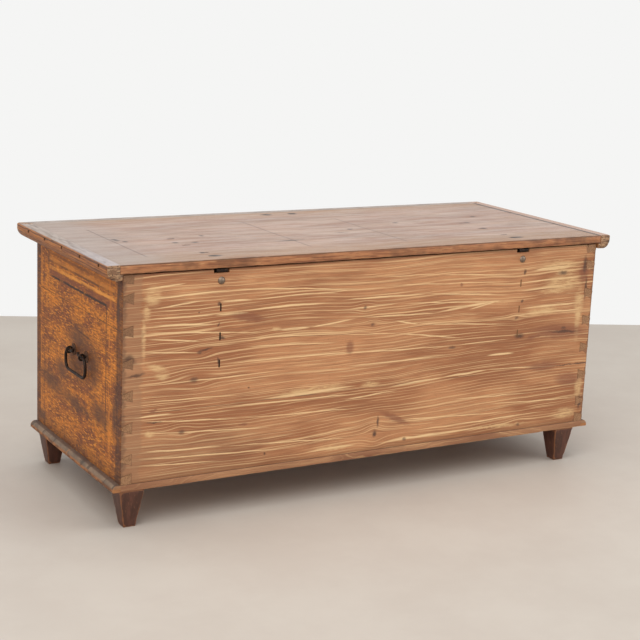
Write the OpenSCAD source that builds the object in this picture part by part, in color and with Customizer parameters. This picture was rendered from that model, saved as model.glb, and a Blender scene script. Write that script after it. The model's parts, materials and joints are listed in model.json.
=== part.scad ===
// Dovetailed pine blanket chest: a case of wide boards on a nosed bottom and
// four tapered feet, a flat lid with mouldings, iron strap hinges, a box lock
// and an iron bail handle on each end. The back faces +Y, the front -Y.

/* [Case] */
// Length of the case over its end boards
case_length = 1240; // [1000:10:1500]
// Depth of the case over its front and back boards
case_depth = 508; // [440:2:600]
// Height of the case boards above the bottom
case_height = 450; // [400:2:520]
// Thickness of the case boards
wall = 24; // [22:1:28]
// How far the back's top edge lies below the ends and the front
back_drop = 2.5; // [0:0.5:4]
// Width of the lower plank of the front and the back
long_lower = 150; // [120:1:180]
// Width of the lower plank of each end
end_lower = 329; // [290:1:350]

/* [Dovetails] */
// Height of the first full pin's middle above the bottom
pin_first = 53; // [46:1:60]
// Distance from one pin to the next
pin_pitch = 69; // [56:1:72]
// Width of a pin at the outside corner
pin_tip = 6; // [4:0.5:10]
// Width of a pin at its root
pin_root = 23; // [16:1:28]
// Width of the half pins at the outside corner
half_tip = 16; // [10:1:18]
// Width of the half pins at their root
half_root = 22; // [19:1:26]
// Least wood between the top pin and the half pin above it
pin_land = 6; // [4:1:12]

/* [Bottom and feet] */
// Thickness of the bottom planks
bottom_t = 16; // [14:1:22]
// Depth of the bottom's back plank
bottom_back = 270; // [220:2:290]
// How far the bottom's nosed ends stand out past the case
nose_out = 17; // [13:1:24]
// Radius of the nosing's upper edge
nose_top_r = 12; // [4:1:13]
// Radius of the nosing's lower edge
nose_low_r = 3; // [1:0.5:3]
// Height of the feet
foot_h = 85; // [60:1:110]
// Width of a foot at its top
foot_top = 56; // [50:1:64]
// Width of a foot at the floor
foot_base = 28; // [22:1:40]
// How far the feet at the left end stand in from the corner
foot_inset = 25; // [0:1:40]
// Diameter of the round tenon on each foot
tenon_d = 24; // [16:1:30]
// Height of the tenon inside the bottom
tenon_h = 12; // [6:1:13]

/* [Lid] */
// Thickness of the lid planks
lid_t = 20; // [18:1:24]
// Gap between the closed lid and the case
lid_gap = 0.4; // [0.3:0.1:1]
// How far the mouldings stand out past the front and ends
lid_over = 36; // [34:1:44]
// How far the lid stands out past the back
back_over = 6; // [6:0.5:8]
// How far the lid planks reach past the case inside the mouldings
plank_over = 8; // [6:0.5:12]
// Depth of the lid's back plank
lid_back = 290; // [240:2:320]
// How far the mouldings hang below the lid planks
lip = 13; // [9:1:16]
// Gap between a moulding's lip and the case
lip_gap = 2; // [1:0.5:3]
// Radius of a moulding's rounded underside
mould_r = 20; // [12:1:21]
// Radius of a moulding's upper edge
mould_edge_r = 4; // [2:0.5:6]

/* [Hinges] */
// Distance of each hinge from the middle of the chest
hinge_x = 397; // [300:1:440]
// Outside radius of the knuckles
knuckle_r = 5; // [4.5:0.1:5.4]
// Length of the three knuckles together
knuckle_w = 26; // [22:1:32]
// Diameter of the hinge pin
hinge_pin_d = 5; // [4:0.1:5.5]
// Radial clearance of the hinge pin in the knuckles
pin_fit = 0.05; // [0.02:0.01:0.1]
// Gap between moving hinge faces
hinge_gap = 0.4; // [0.3:0.05:0.6]
// Distance of the hinge axis in from the back face
hinge_in = 2.5; // [1.5:0.1:3]
// Thickness of the strap iron
strap_t = 3; // [2.5:0.1:3.5]
// Width of a strap at its far end
strap_end = 16; // [12:1:20]
// Length of the case leaf down the inside of the back
leaf_drop = 208; // [170:1:240]
// Length of the lid strap from the hinge axis
strap_run = 256; // [200:1:270]
// Width of the notch in the back's top edge
notch_w = 36; // [34:1:44]
// Diameter of the domed bolt head on the back
dome_d = 17; // [12:0.5:22]
// Height of the domed bolt head
dome_h = 5; // [3:0.5:5.5]
// Diameter of the domed bolt's shank
dome_shank_d = 6; // [4:0.5:8]
// Diameter of the domed bolt's riveted end on the inside
dome_rivet_d = 11; // [8:0.5:14]
// Depth of the domed bolt below the hinge axis
dome_down = 22; // [20:1:28]
// Depths of the leaf's first two nails below the hinge axis
leaf_nails = [73, 136]; // [60:1:140]
// Distances of the strap's first three nails in from the hinge axis
strap_nails = [30, 68, 160]; // [30:1:165]
// Distance of the last nail from the end of a leaf or strap
nail_edge = 15; // [12:1:20]

/* [Nails] */
// Diameter of a clenched nail's shank
nail_d = 3.4; // [2.5:0.1:4.5]
// Diameter of a clenched nail's head
nail_head_d = 9; // [7:0.5:11]
// Height of a clenched nail's head
nail_head_h = 1.6; // [1:0.1:2.5]
// Length of the point bent over on the far side
clench_len = 17; // [10:1:24]
// Thickness of the bent point
clench_t = 1.6; // [1.2:0.1:2.4]
// Clearance round every nail and pin in its hole
nail_fit = 0.05; // [0.02:0.01:0.1]
// Diameter of the nails that hold the bottom and the mouldings
brad_d = 3; // [2:0.1:4]
// Diameter of those nails' heads
brad_head_d = 7; // [5:0.5:9]
// Height of those nails' heads
brad_head_h = 1.2; // [0.8:0.1:2]
// Depth of those nails past the first piece
brad_bite = 26; // [15:1:40]
// Number of nails along each long side of the bottom
bottom_long_nails = 7; // [3:1:11]
// Number of nails along each end of the bottom
bottom_end_nails = 3; // [2:1:5]
// Number of nails in each end moulding
mould_end_nails = 5; // [3:1:8]
// Number of nails in the front moulding
mould_front_nails = 8; // [4:1:12]

/* [Lock] */
// Width of the lock case
lock_w = 92; // [88:1:110]
// Height of the lock case
lock_h = 66; // [60:1:80]
// Depth of the lock case and of its mortise in the front
lock_d = 12; // [12:0.1:14]
// Thickness of the lock's sheet iron
lock_sheet = 1.6; // [1.2:0.1:2]
// Border of the cap plate round the lock case
cap_border = 12; // [9:1:16]
// Depth of the keyhole below the case's top edge
key_down = 40; // [38:1:44]
// Radius of the round part of the keyhole
key_r = 5; // [4:0.1:5.5]
// Width of the keyhole's slot
key_slot_w = 4; // [3:0.1:5]
// Reach of the keyhole's slot below its middle
key_slot_h = 15; // [12:1:17]
// Throw of the bolt
bolt_throw = 9; // [8.5:0.5:11]
// Length of the bolt
bolt_len = 36; // [32:1:38]
// Height of the bolt's nose
bolt_h = 7; // [5:0.5:7.5]
// Thickness of the bolt
bolt_t = 4; // [3:0.1:4.4]
// Distance between the withdrawn bolt and the staple
bolt_back = 1.5; // [1:0.1:2]
// Height of the bolt's tail below its nose
tail_h = 18; // [14:1:20]
// Diameter of the key's notch in the bolt's tail
key_notch_d = 9; // [6:0.5:11]
// Diameter of the posts that carry the bolt's tail
post_d = 4; // [3:0.5:5]
// Thickness of the lid staple along the chest
staple_t = 6; // [4:0.5:6.5]
// Depth of the lid staple across the chest
staple_w = 8; // [7.5:0.1:8.4]
// Clearance of the staple in the lock's slot, across the chest
staple_gap = 0.8; // [0.6:0.1:0.8]
// Clearance of the staple in the lock's slot, along the chest
slot_gap = 1.3; // [1:0.1:2]
// Clearance above and below the bolt in the staple's window
window_gap = 0.8; // [0.6:0.1:1]
// Height of the staple's closed end below its window
staple_foot = 2.4; // [2:0.1:3]
// Thickness of the staple's arms beside its window
staple_arm = 1.5; // [1.2:0.1:1.6]
// Length of the staple's arm below the lid
staple_drop = 19; // [18:0.5:20]
// Length of the staple's plate, let in flush under the lid
staple_plate_l = 92; // [80:1:110]
// Depth of the staple's plate across the chest
staple_plate_w = 18; // [14:1:24]
// Thickness of the staple's plate
staple_plate_t = 2; // [1.5:0.1:2.5]
// Distance between the two nails of the staple's plate
staple_nail_span = 68; // [50:1:74]
// Clearance of the bolt in the lock
bolt_gap = 0.4; // [0.3:0.05:0.6]
// Length of the nails through the cap plate
lock_nail_len = 14; // [10:1:18]
// Width of the escutcheon
plate_w = 38; // [30:1:50]
// Height of the escutcheon
plate_h = 62; // [54:1:74]
// Thickness of the escutcheon
plate_t = 1.6; // [1:0.1:2.5]
// Diameter of the escutcheon's pins
plate_pin_d = 2; // [1.6:0.1:3]
// Diameter of the pins' heads
plate_pin_head_d = 5; // [4:0.5:7]
// Distance of the pins from the ends of the escutcheon
plate_pin_in = 6; // [5:0.5:8]
// Depth of the pins in the front
plate_pin_bite = 7; // [5:0.5:8]

/* [Handles] */
// Height of the handle's pivot above the bottom of the case boards
handle_up = 230; // [150:1:300]
// How far the handles lie behind the middle of the chest
handle_back = 22; // [-60:1:60]
// Width of the bail between its legs
bail_w = 116; // [100:1:140]
// Drop of the bail below its pivot
bail_drop = 45; // [38:1:60]
// Diameter of the bail's rod
bail_d = 6.8; // [5:0.1:8]
// Radius of the bail's upper bends
bail_bend = 10; // [7:0.5:12]
// Radius of the bail's lower bends
bail_corner = 18; // [10:0.5:20]
// Distance between the two eyes
eye_span = 74; // [66:1:78]
// Distance between the bail's turned-up tips
tip_span = 32; // [20:1:40]
// Radius of the turned-up tips
tip_bend = 4.5; // [4.2:0.1:5]
// Straight length of the turned-up tips
tip_len = 2; // [0.5:0.5:2.5]
// Diameter of the eyes' rod
eye_d = 5; // [4:0.1:5.5]
// Clearance of the bail in its eyes
eye_gap = 0.5; // [0.3:0.1:0.8]
// Distance of the pivot from the end board
eye_out = 11.4; // [11:0.1:16]
// Diameter of the washer behind each eye
washer_d = 26; // [18:1:34]
// Thickness of the washers
washer_t = 1.5; // [1:0.1:1.8]
// Length of the eye's points spread on the inside
eye_clench = 30; // [16:1:44]

/* [Hidden] */
$fn = 48;

pine = [0.66, 0.44, 0.28];
paint = [0.62, 0.37, 0.18];
top_pine = [0.70, 0.57, 0.48];
dark_wood = [0.30, 0.18, 0.13];
iron = [0.13, 0.10, 0.09];

// Case: the lid's outline is centred on the origin
half_l = case_length / 2;
mid_y = (lid_over - back_over) / 2;
y_front = mid_y - case_depth / 2;
y_back = mid_y + case_depth / 2;
z_case = foot_h + bottom_t;
z_top = z_case + case_height;
z_lid = z_top + lid_gap;
z_lid_top = z_lid + lid_t;
cut = 1;

// Hinges: the knuckles' tops clear the lid by the hinge gap
z_hinge = z_lid - knuckle_r - hinge_gap;
y_hinge = y_back - hinge_in;
z_notch = z_hinge - knuckle_r - hinge_gap;
mid_knuckle = knuckle_w / 3;
y_leaf = y_back - wall - strap_t;

// Lock: the bolt, the staple and the slot share one middle plane
y_lock = y_front + wall - lock_d;
y_bolt = y_lock + lock_sheet + staple_gap + staple_w / 2;
z_key = z_top - key_down;
z_staple_end = z_lid - staple_drop;
window_h = bolt_h + 2 * window_gap;
z_window = z_staple_end + staple_foot;
z_bolt = z_window + window_gap;
bolt_x = staple_t / 2 + bolt_back;
bolt_tail = bolt_throw + 1;
tail_x = bolt_x + bolt_tail;
z_tail = z_bolt - tail_h;
z_plate = z_key - key_slot_h / 2 + key_r / 2;

// Feet: back right, back left, front right, front left
foot_x_right = half_l - foot_top / 2;
foot_x_left = -half_l + foot_inset + foot_top / 2;
foot_y_back = y_back - foot_top / 2;
foot_y_front = y_front + foot_top / 2;
feet = [[foot_x_right, foot_y_back], [foot_x_left, foot_y_back],
    [foot_x_right, foot_y_front], [foot_x_left, foot_y_front]];

// Handles: the eye's ring just clears the bail's rod
handle_z = z_case + handle_up;
handle_y = mid_y + handle_back;
ring_r = bail_d / 2 + eye_gap + eye_d / 2;

// Dovetails: as many full pins as fit below the upper half pin
pin_room = case_height - half_root - pin_root / 2 - pin_land - pin_first;
pin_z = [for (k = [0:floor(pin_room / pin_pitch)]) z_case + pin_first + k * pin_pitch];

function pin_half(s) = pin_tip / 2 + (pin_root - pin_tip) / 2 * s / wall;
function half_pin(s) = half_tip + (half_root - half_tip) * s / wall;
function spread(a, b, n) = [for (k = [0:n - 1]) a + (b - a) * k / (n - 1)];

// Copies for the left end, mirrored across the middle of the chest
module left() {
    mirror([1, 0, 0]) children();
}

// Rod along Y with its middle at the origin
module rod_y(d, len) {
    rotate([90, 0, 0]) cylinder(d = d, h = len, center = true);
}

// Rod along X from the origin outwards
module rod_x(d, len) {
    rotate([0, 90, 0]) cylinder(d = d, h = len);
}

// Dovetail pins of the right end, s = depth in from the end, more = extra height
module pins_2d(s0, s1, more) {
    for (z = pin_z)
        polygon([[half_l - s0, z - pin_half(s0)], [half_l - s0, z + pin_half(s0)],
            [half_l - s1, z + pin_half(s1)], [half_l - s1, z - pin_half(s1)]]);
    for (e = [[z_case, 1], [z_top, -1]])
        polygon([[half_l - s0, e[0] - e[1] * more], [half_l - s0, e[0] + e[1] * half_pin(s0)],
            [half_l - s1, e[0] + e[1] * half_pin(s1)], [half_l - s1, e[0] - e[1] * more]]);
}

module pins(y0, y1, s0, s1, more) {
    translate([0, y1, 0]) rotate([90, 0, 0]) linear_extrude(y1 - y0) pins_2d(s0, s1, more);
}

// Sockets for the pins in a long board whose outside face is at y0
module sockets(y0) {
    pins(y0 - cut, y0 + wall + cut, -cut, wall, cut);
    left() pins(y0 - cut, y0 + wall + cut, -cut, wall, cut);
}

module long_board(y0, z0, z1) {
    difference() {
        translate([-half_l, y0, z0]) cube([case_length, wall, z1 - z0]);
        sockets(y0);
        bottom_nail_set(nail_fit);
    }
}

// Right end board between two heights, with its pins at both corners and its
// top planed down at the back, so that the opening lid clears it
module end_board(z0, z1) {
    difference() {
        intersection() {
            union() {
                translate([half_l - wall, y_front + wall, z_case])
                    cube([wall, case_depth - 2 * wall, case_height]);
                pins(y_front, y_front + wall, 0, wall, 0);
                pins(y_back - wall, y_back, 0, wall, 0);
            }
            translate([0, y_front - cut, z0]) cube([half_l + cut, case_depth + 2 * cut, z1 - z0]);
        }
        translate([half_l - wall - cut, y_back - wall, z_top - back_drop])
            cube([wall + 2 * cut, wall + cut, back_drop + cut]);
        bottom_nail_set(nail_fit);
        for (s = [-1, 1])
            translate([half_l - wall - cut, handle_y + s * eye_span / 2, handle_z])
                rod_x(eye_d + 2 * nail_fit, wall + 2 * cut);
    }
}

module back_board_upper() {
    color(pine) difference() {
        long_board(y_back - wall, z_case + long_lower, z_top - back_drop);
        for (s = [-1, 1]) {
            translate([s * hinge_x - notch_w / 2, y_back - wall - cut, z_notch])
                cube([notch_w, wall + 2 * cut, 3 * knuckle_r]);
            translate([s * hinge_x, 0, 0]) {
                dome_bolt(nail_fit);
                leaf_nail_set(nail_fit);
            }
        }
    }
}

module back_board_lower() {
    color(pine) long_board(y_back - wall, z_case, z_case + long_lower);
}

module front_board_upper() {
    color(paint) difference() {
        long_board(y_front, z_case + long_lower, z_top);
        translate([-lock_w / 2 - nail_fit, y_lock, z_top - lock_h - nail_fit])
            cube([lock_w + 2 * nail_fit, lock_d + cut, lock_h + cut]);
        keyhole(y_front - cut, y_lock + cut);
        lock_nail_set(nail_fit);
        escutcheon_pin_set(nail_fit);
    }
}

module front_board_lower() {
    color(paint) long_board(y_front, z_case, z_case + long_lower);
}

module end_right_upper() {
    color(paint) end_board(z_case + end_lower, z_top);
}

module end_right_lower() {
    color(paint) end_board(z_case, z_case + end_lower);
}

module end_left_upper() {
    color(paint) left() end_board(z_case + end_lower, z_top);
}

module end_left_lower() {
    color(paint) left() end_board(z_case, z_case + end_lower);
}

// Half of the bottom's section: flat, with a nosed end at the right
module nosing_2d() {
    e = half_l + nose_out;
    r = min(nose_top_r, bottom_t - nose_low_r - 0.5);
    square([e - r, bottom_t]);
    translate([e - r, nose_low_r]) square([r, bottom_t - nose_low_r - r]);
    intersection() {
        translate([e - r, bottom_t - r]) circle(r);
        translate([e - r, bottom_t - r]) square(r);
    }
    intersection() {
        translate([e - nose_low_r, nose_low_r]) circle(nose_low_r);
        translate([e - nose_low_r, 0]) square(nose_low_r);
    }
    translate([e - r, 0]) square([r - nose_low_r, nose_low_r]);
}

module bottom_plank(y0, y1) {
    difference() {
        for (m = [0, 1])
            mirror([m, 0, 0])
                translate([0, y1, foot_h])
                    rotate([90, 0, 0]) linear_extrude(y1 - y0) nosing_2d();
        bottom_nail_set(nail_fit);
        for (f = feet)
            translate([f[0], f[1], foot_h - cut]) cylinder(d = tenon_d + 2 * nail_fit, h = tenon_h + cut);
    }
}

module bottom_plank_back() {
    color(pine) bottom_plank(y_back - bottom_back, y_back);
}

module bottom_plank_front() {
    color(pine) bottom_plank(y_front, y_back - bottom_back);
}

module taper_2d() {
    polygon([[-foot_base / 2, 0], [foot_base / 2, 0], [foot_top / 2, foot_h], [-foot_top / 2, foot_h]]);
}

// Tapered square foot with its round tenon
module foot(f) {
    color(dark_wood) translate([f[0], f[1], 0]) {
        intersection() {
            rotate([90, 0, 0]) linear_extrude(foot_top, center = true) taper_2d();
            rotate([90, 0, 90]) linear_extrude(foot_top, center = true) taper_2d();
        }
        translate([0, 0, foot_h]) cylinder(d = tenon_d, h = tenon_h);
    }
}

module foot_back_right() {
    foot(feet[0]);
}

module foot_back_left() {
    foot(feet[1]);
}

module foot_front_right() {
    foot(feet[2]);
}

module foot_front_left() {
    foot(feet[3]);
}

// Nails driven up through the bottom into the case boards
module bottom_nail_set(fit) {
    edge = foot_top + brad_head_d + foot_inset;
    long_x = spread(-half_l + edge, half_l - edge, bottom_long_nails);
    end_y = spread(y_front + edge, y_back - edge, bottom_end_nails);
    spots = concat([for (x = long_x, y = [y_front + wall / 2, y_back - wall / 2]) [x, y]],
        [for (y = end_y, x = [-half_l + wall / 2, half_l - wall / 2]) [x, y]]);
    for (p = spots)
        translate([p[0], p[1], foot_h]) {
            translate([0, 0, -brad_head_h]) cylinder(d = brad_head_d + 2 * fit, h = brad_head_h);
            cylinder(d = brad_d + 2 * fit, h = bottom_t + brad_bite + fit);
        }
}

module bottom_nails() {
    color(iron) bottom_nail_set(0);
}

// One strap seen flat: width w at the root, narrower and round at the far end
module strap_2d(w, len) {
    r = strap_end / 2;
    polygon([[-w / 2, 0], [w / 2, 0], [r, -len + r], [-r, -len + r]]);
    translate([0, -len + r]) circle(r);
}

// Ring of a hinge knuckle, from x0 over a width
module knuckle(x0, w) {
    translate([x0, y_hinge, z_hinge]) rod_x(2 * knuckle_r, w);
}

module knuckle_bore() {
    translate([-knuckle_w, y_hinge, z_hinge]) rod_x(hinge_pin_d + 2 * pin_fit, 2 * knuckle_w);
}

// Case leaf: two outer knuckles, a bend over the back's edge and a strap inside
module hinge_leaf() {
    color(iron) difference() {
        union() {
            knuckle(-knuckle_w / 2, knuckle_w);
            translate([-knuckle_w / 2, y_leaf, z_notch]) cube([knuckle_w, y_hinge - knuckle_r / 2 - y_leaf, strap_t]);
            translate([0, y_leaf + strap_t, z_notch + strap_t])
                rotate([90, 0, 0]) linear_extrude(strap_t) strap_2d(knuckle_w, leaf_drop);
        }
        translate([-mid_knuckle / 2 - hinge_gap, y_hinge - knuckle_r - hinge_gap, z_notch - cut])
            cube([mid_knuckle + 2 * hinge_gap, 3 * knuckle_r, 3 * knuckle_r]);
        knuckle_bore();
        dome_bolt(nail_fit);
        leaf_nail_set(nail_fit);
    }
}

// Lid strap: the middle knuckle and a strap under the lid
module lid_strap() {
    root = knuckle_r + 2 * hinge_gap;
    color(iron) difference() {
        union() {
            knuckle(-mid_knuckle / 2, mid_knuckle);
            translate([-mid_knuckle / 2, y_hinge - root, z_lid - strap_t])
                cube([mid_knuckle, root, strap_t]);
            translate([0, y_hinge - root, z_lid - strap_t])
                linear_extrude(strap_t) strap_2d(knuckle_w, strap_run - root);
        }
        knuckle_bore();
        strap_nail_set(nail_fit);
    }
}

module hinge_pin() {
    color(iron) translate([-knuckle_w / 2 - 1, y_hinge, z_hinge]) rod_x(hinge_pin_d, knuckle_w + 2);
}

module hinge_leaf_right() {
    translate([hinge_x, 0, 0]) hinge_leaf();
}

module hinge_leaf_left() {
    translate([-hinge_x, 0, 0]) hinge_leaf();
}

module hinge_pin_right() {
    translate([hinge_x, 0, 0]) hinge_pin();
}

module hinge_pin_left() {
    translate([-hinge_x, 0, 0]) hinge_pin();
}

// Domed bolt through the back and the case leaf, riveted over on the inside
module dome_bolt(fit) {
    dome_ball = (dome_d * dome_d / 4 + dome_h * dome_h) / (2 * dome_h);
    translate([0, y_back, z_hinge - dome_down]) {
        if (fit == 0)
            intersection() {
                translate([0, dome_h - dome_ball, 0]) sphere(dome_ball);
                translate([-dome_d, 0, -dome_d]) cube(2 * dome_d);
            }
        translate([0, -(wall + strap_t) / 2, 0]) rod_y(dome_shank_d + 2 * fit, wall + strap_t + 2 * fit);
        if (fit == 0)
            translate([0, -wall - strap_t - nail_head_h / 2, 0]) rod_y(dome_rivet_d, nail_head_h);
    }
}

module dome_bolt_right() {
    color(iron) translate([hinge_x, 0, 0]) dome_bolt(0);
}

module dome_bolt_left() {
    color(iron) translate([-hinge_x, 0, 0]) dome_bolt(0);
}

// Shank of a nail along +Z, its point bent over along X at the far side
module nail_point(len, fit) {
    cylinder(d = nail_d + 2 * fit, h = len);
    translate([-nail_d / 2 - fit, -nail_d / 2 - fit, len - clench_t - fit])
        cube([clench_len + 2 * fit, nail_d + 2 * fit, clench_t + 2 * fit]);
}

module clenched_nail(len, fit) {
    translate([0, 0, -nail_head_h]) cylinder(d = nail_head_d, h = nail_head_h);
    nail_point(len, fit);
}

module leaf_nail_set(fit) {
    leaf_end = z_hinge - z_notch - strap_t + leaf_drop;
    for (d = concat(leaf_nails, [leaf_end - nail_edge]))
        translate([0, y_leaf, z_hinge - d])
            rotate([-90, 0, 0]) rotate([0, 0, 90]) clenched_nail(wall + strap_t, fit);
}

module leaf_nails_right() {
    color(iron) translate([hinge_x, 0, 0]) leaf_nail_set(0);
}

module leaf_nails_left() {
    color(iron) translate([-hinge_x, 0, 0]) leaf_nail_set(0);
}

module strap_nail_set(fit) {
    for (d = concat(strap_nails, [strap_run - nail_edge]))
        translate([0, y_hinge - d, z_lid - strap_t]) clenched_nail(strap_t + lid_t, fit);
}

module strap_nails_right() {
    color(iron) translate([hinge_x, 0, 0]) strap_nail_set(0);
}

module strap_nails_left() {
    color(iron) translate([-hinge_x, 0, 0]) strap_nail_set(0);
}

module lid_strap_right() {
    translate([hinge_x, 0, 0]) lid_strap();
}

module lid_strap_left() {
    translate([-hinge_x, 0, 0]) lid_strap();
}

// Lid plank between two depths, with the holes for its nails
module lid_plank(y0, y1) {
    color(top_pine) difference() {
        translate([-half_l - plank_over, y0, z_lid])
            cube([case_length + 2 * plank_over, y1 - y0, lid_t]);
        mould_nail_set(nail_fit);
        for (s = [-1, 1])
            translate([s * hinge_x, 0, 0]) strap_nail_set(nail_fit);
        staple_nail_set(nail_fit);
        translate([-staple_plate_l / 2 - nail_fit, y_bolt - staple_plate_w / 2 - nail_fit, z_lid - cut])
            cube([staple_plate_l + 2 * nail_fit, staple_plate_w + 2 * nail_fit, staple_plate_t + cut]);
    }
}

module lid_plank_back() {
    lid_plank(y_back + back_over - lid_back, y_back + back_over);
}

module lid_plank_front() {
    lid_plank(y_front - plank_over, y_back + back_over - lid_back);
}

// Moulding section, u = distance out from the case, v = height above its lip's end
module mould_2d() {
    h = lip + lid_t;
    c = lid_over - mould_r;
    difference() {
        union() {
            translate([lip_gap, 0]) square([c - lip_gap, h]);
            intersection() {
                translate([c, mould_r]) circle(mould_r);
                translate([c, 0]) square(mould_r);
            }
            translate([c, mould_r]) square([mould_r, h - mould_r - mould_edge_r]);
            translate([c, h - mould_edge_r]) square([mould_r - mould_edge_r, mould_edge_r]);
            intersection() {
                translate([lid_over - mould_edge_r, h - mould_edge_r]) circle(mould_edge_r);
                translate([lid_over - mould_edge_r, h - mould_edge_r]) square(mould_edge_r);
            }
        }
        translate([-cut, lip]) square([plank_over + cut, lid_t + cut]);
    }
}

// End moulding at the right, mitred at the front corner
module end_mould() {
    color(paint) difference() {
        translate([half_l, y_back + back_over, z_lid - lip])
            rotate([90, 0, 0]) linear_extrude(case_depth + back_over + lid_over) mould_2d();
        translate([0, 0, z_lid - lip - cut])
            linear_extrude(lip + lid_t + 2 * cut)
                polygon([[half_l - cut, y_front + cut], [half_l + lid_over + cut, y_front - lid_over - cut],
                    [half_l - cut, y_front - lid_over - cut]]);
        mould_nail_set(nail_fit);
    }
}

module lid_mould_right() {
    end_mould();
}

module lid_mould_left() {
    left() end_mould();
}

module lid_mould_front() {
    color(paint) difference() {
        translate([-half_l - lid_over, y_front, z_lid - lip])
            rotate([90, 0, 90]) linear_extrude(case_length + 2 * lid_over) mirror([1, 0]) mould_2d();
        for (m = [0, 1])
            mirror([m, 0, 0])
                translate([0, 0, z_lid - lip - cut])
                    linear_extrude(lip + lid_t + 2 * cut)
                        polygon([[half_l - cut, y_front + cut],
                            [half_l + lid_over + cut, y_front - lid_over - cut],
                            [half_l + lid_over + cut, y_front + cut]]);
        mould_nail_set(nail_fit);
    }
}

// Nail along +X from its sunk head at x = 0
module mould_nail(fit) {
    translate([-brad_head_h - fit, 0, 0]) rod_x(brad_head_d + 2 * fit, brad_head_h + fit);
    translate([-lid_over + plank_over - brad_bite, 0, 0])
        rod_x(brad_d + 2 * fit, lid_over - plank_over + brad_bite);
}

// Nails through the mouldings into the edges of the lid planks
module mould_nail_set(fit) {
    z = z_lid + lid_t - mould_edge_r - brad_head_d / 2 - 1;
    inset = lid_over + brad_head_d;
    for (m = [0, 1], y = spread(y_front + inset, y_back - inset, mould_end_nails))
        mirror([m, 0, 0]) translate([half_l + lid_over, y, z]) mould_nail(fit);
    for (x = spread(-half_l + inset, half_l - inset, mould_front_nails))
        translate([x, y_front - lid_over, z]) rotate([0, 0, -90]) mould_nail(fit);
}

module lid_mould_nails() {
    color(iron) mould_nail_set(0);
}

// Keyhole along Y between two depths: a round hole with a slot below
module keyhole(y0, y1) {
    translate([0, y1, z_key]) rotate([90, 0, 0]) linear_extrude(y1 - y0) {
        circle(key_r);
        translate([-key_slot_w / 2, -key_slot_h]) square([key_slot_w, key_slot_h]);
    }
}

// Lock case: a sheet box open towards the inside, let into the front
module lock_case() {
    pad_y = y_bolt - bolt_t / 2 - bolt_gap - y_lock;
    post_z = z_tail - bolt_gap - post_d / 2;
    color(iron) difference() {
        union() {
            difference() {
                translate([-lock_w / 2, y_lock, z_top - lock_h]) cube([lock_w, lock_d, lock_h]);
                translate([-lock_w / 2 + lock_sheet, y_lock + lock_sheet, z_top - lock_h + lock_sheet])
                    cube([lock_w - 2 * lock_sheet, lock_d, lock_h - 2 * lock_sheet]);
            }
            translate([tail_x, y_lock, z_tail + post_d / 2])
                cube([bolt_len - bolt_tail, pad_y, tail_h + bolt_h - post_d]);
            for (x = [tail_x + post_d / 2, tail_x + bolt_len - bolt_tail - bolt_throw - post_d / 2])
                translate([x, y_lock + lock_d / 2, post_z]) rod_y(post_d, lock_d);
        }
        keyhole(y_lock - cut, y_lock + lock_sheet + cut);
        translate([-staple_t / 2 - slot_gap, y_bolt - staple_w / 2 - staple_gap, z_top - lock_sheet - cut])
            cube([staple_t + 2 * slot_gap, staple_w + 2 * staple_gap, lock_sheet + 2 * cut]);
    }
}

// Plate that closes the lock case on the inside
module lock_cap() {
    color(iron) difference() {
        translate([-lock_w / 2 - cap_border, y_lock + lock_d, z_top - lock_h - cap_border])
            cube([lock_w + 2 * cap_border, lock_sheet, lock_h + cap_border]);
        lock_nail_set(nail_fit);
    }
}

// Nails through the cap's border into the front
module lock_nail_set(fit) {
    y_cap = y_lock + lock_d + lock_sheet;
    for (x = [-1, 1], z = [z_top - cap_border, z_top - lock_h])
        translate([x * (lock_w + cap_border) / 2, y_cap, z]) {
            translate([0, nail_head_h / 2, 0]) rod_y(brad_head_d, nail_head_h);
            translate([0, -lock_nail_len / 2, 0]) rod_y(brad_d + 2 * fit, lock_nail_len);
        }
}

module lock_nails() {
    color(iron) lock_nail_set(0);
}

// Bolt: a nose that enters the lid staple and a tail with a notch for the key
module lock_bolt() {
    color(iron) difference() {
        translate([bolt_x, y_bolt - bolt_t / 2, 0]) {
            translate([0, 0, z_bolt]) cube([bolt_len, bolt_t, bolt_h]);
            translate([bolt_tail, 0, z_tail]) cube([bolt_len - bolt_tail, bolt_t, tail_h]);
        }
        translate([tail_x, y_bolt, z_bolt - tail_h / 2]) rod_y(key_notch_d, 2 * bolt_t);
    }
}

// Lid staple: a plate under the lid with one looped arm that hangs into the lock
module lid_staple() {
    color(iron) difference() {
        union() {
            translate([-staple_plate_l / 2, y_bolt - staple_plate_w / 2, z_lid])
                cube([staple_plate_l, staple_plate_w, staple_plate_t]);
            translate([-staple_t / 2, y_bolt - staple_w / 2, z_staple_end])
                cube([staple_t, staple_w, staple_drop]);
        }
        translate([-staple_t, y_bolt - staple_w / 2 + staple_arm, z_window])
            cube([2 * staple_t, staple_w - 2 * staple_arm, window_h]);
        staple_nail_set(nail_fit);
    }
}

// Flush nails through the staple's plate, clenched on top of the lid
module staple_nail_set(fit) {
    for (m = [0, 1])
        mirror([m, 0, 0]) translate([staple_nail_span / 2, y_bolt, z_lid]) {
            cylinder(d = brad_head_d + 2 * fit, h = staple_plate_t / 2);
            nail_point(lid_t, fit);
        }
}

module staple_nails() {
    color(iron) staple_nail_set(0);
}

// Escutcheon: a plate with round ends on the front, pierced by the keyhole
module escutcheon() {
    color(iron) difference() {
        translate([0, y_front, z_plate]) rotate([90, 0, 0]) linear_extrude(plate_t) {
            square([plate_w, plate_h - plate_w], center = true);
            for (s = [-1, 1])
                translate([0, s * (plate_h - plate_w) / 2]) circle(plate_w / 2);
        }
        keyhole(y_front - plate_t - cut, y_front + cut);
        escutcheon_pin_set(nail_fit);
    }
}

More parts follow.
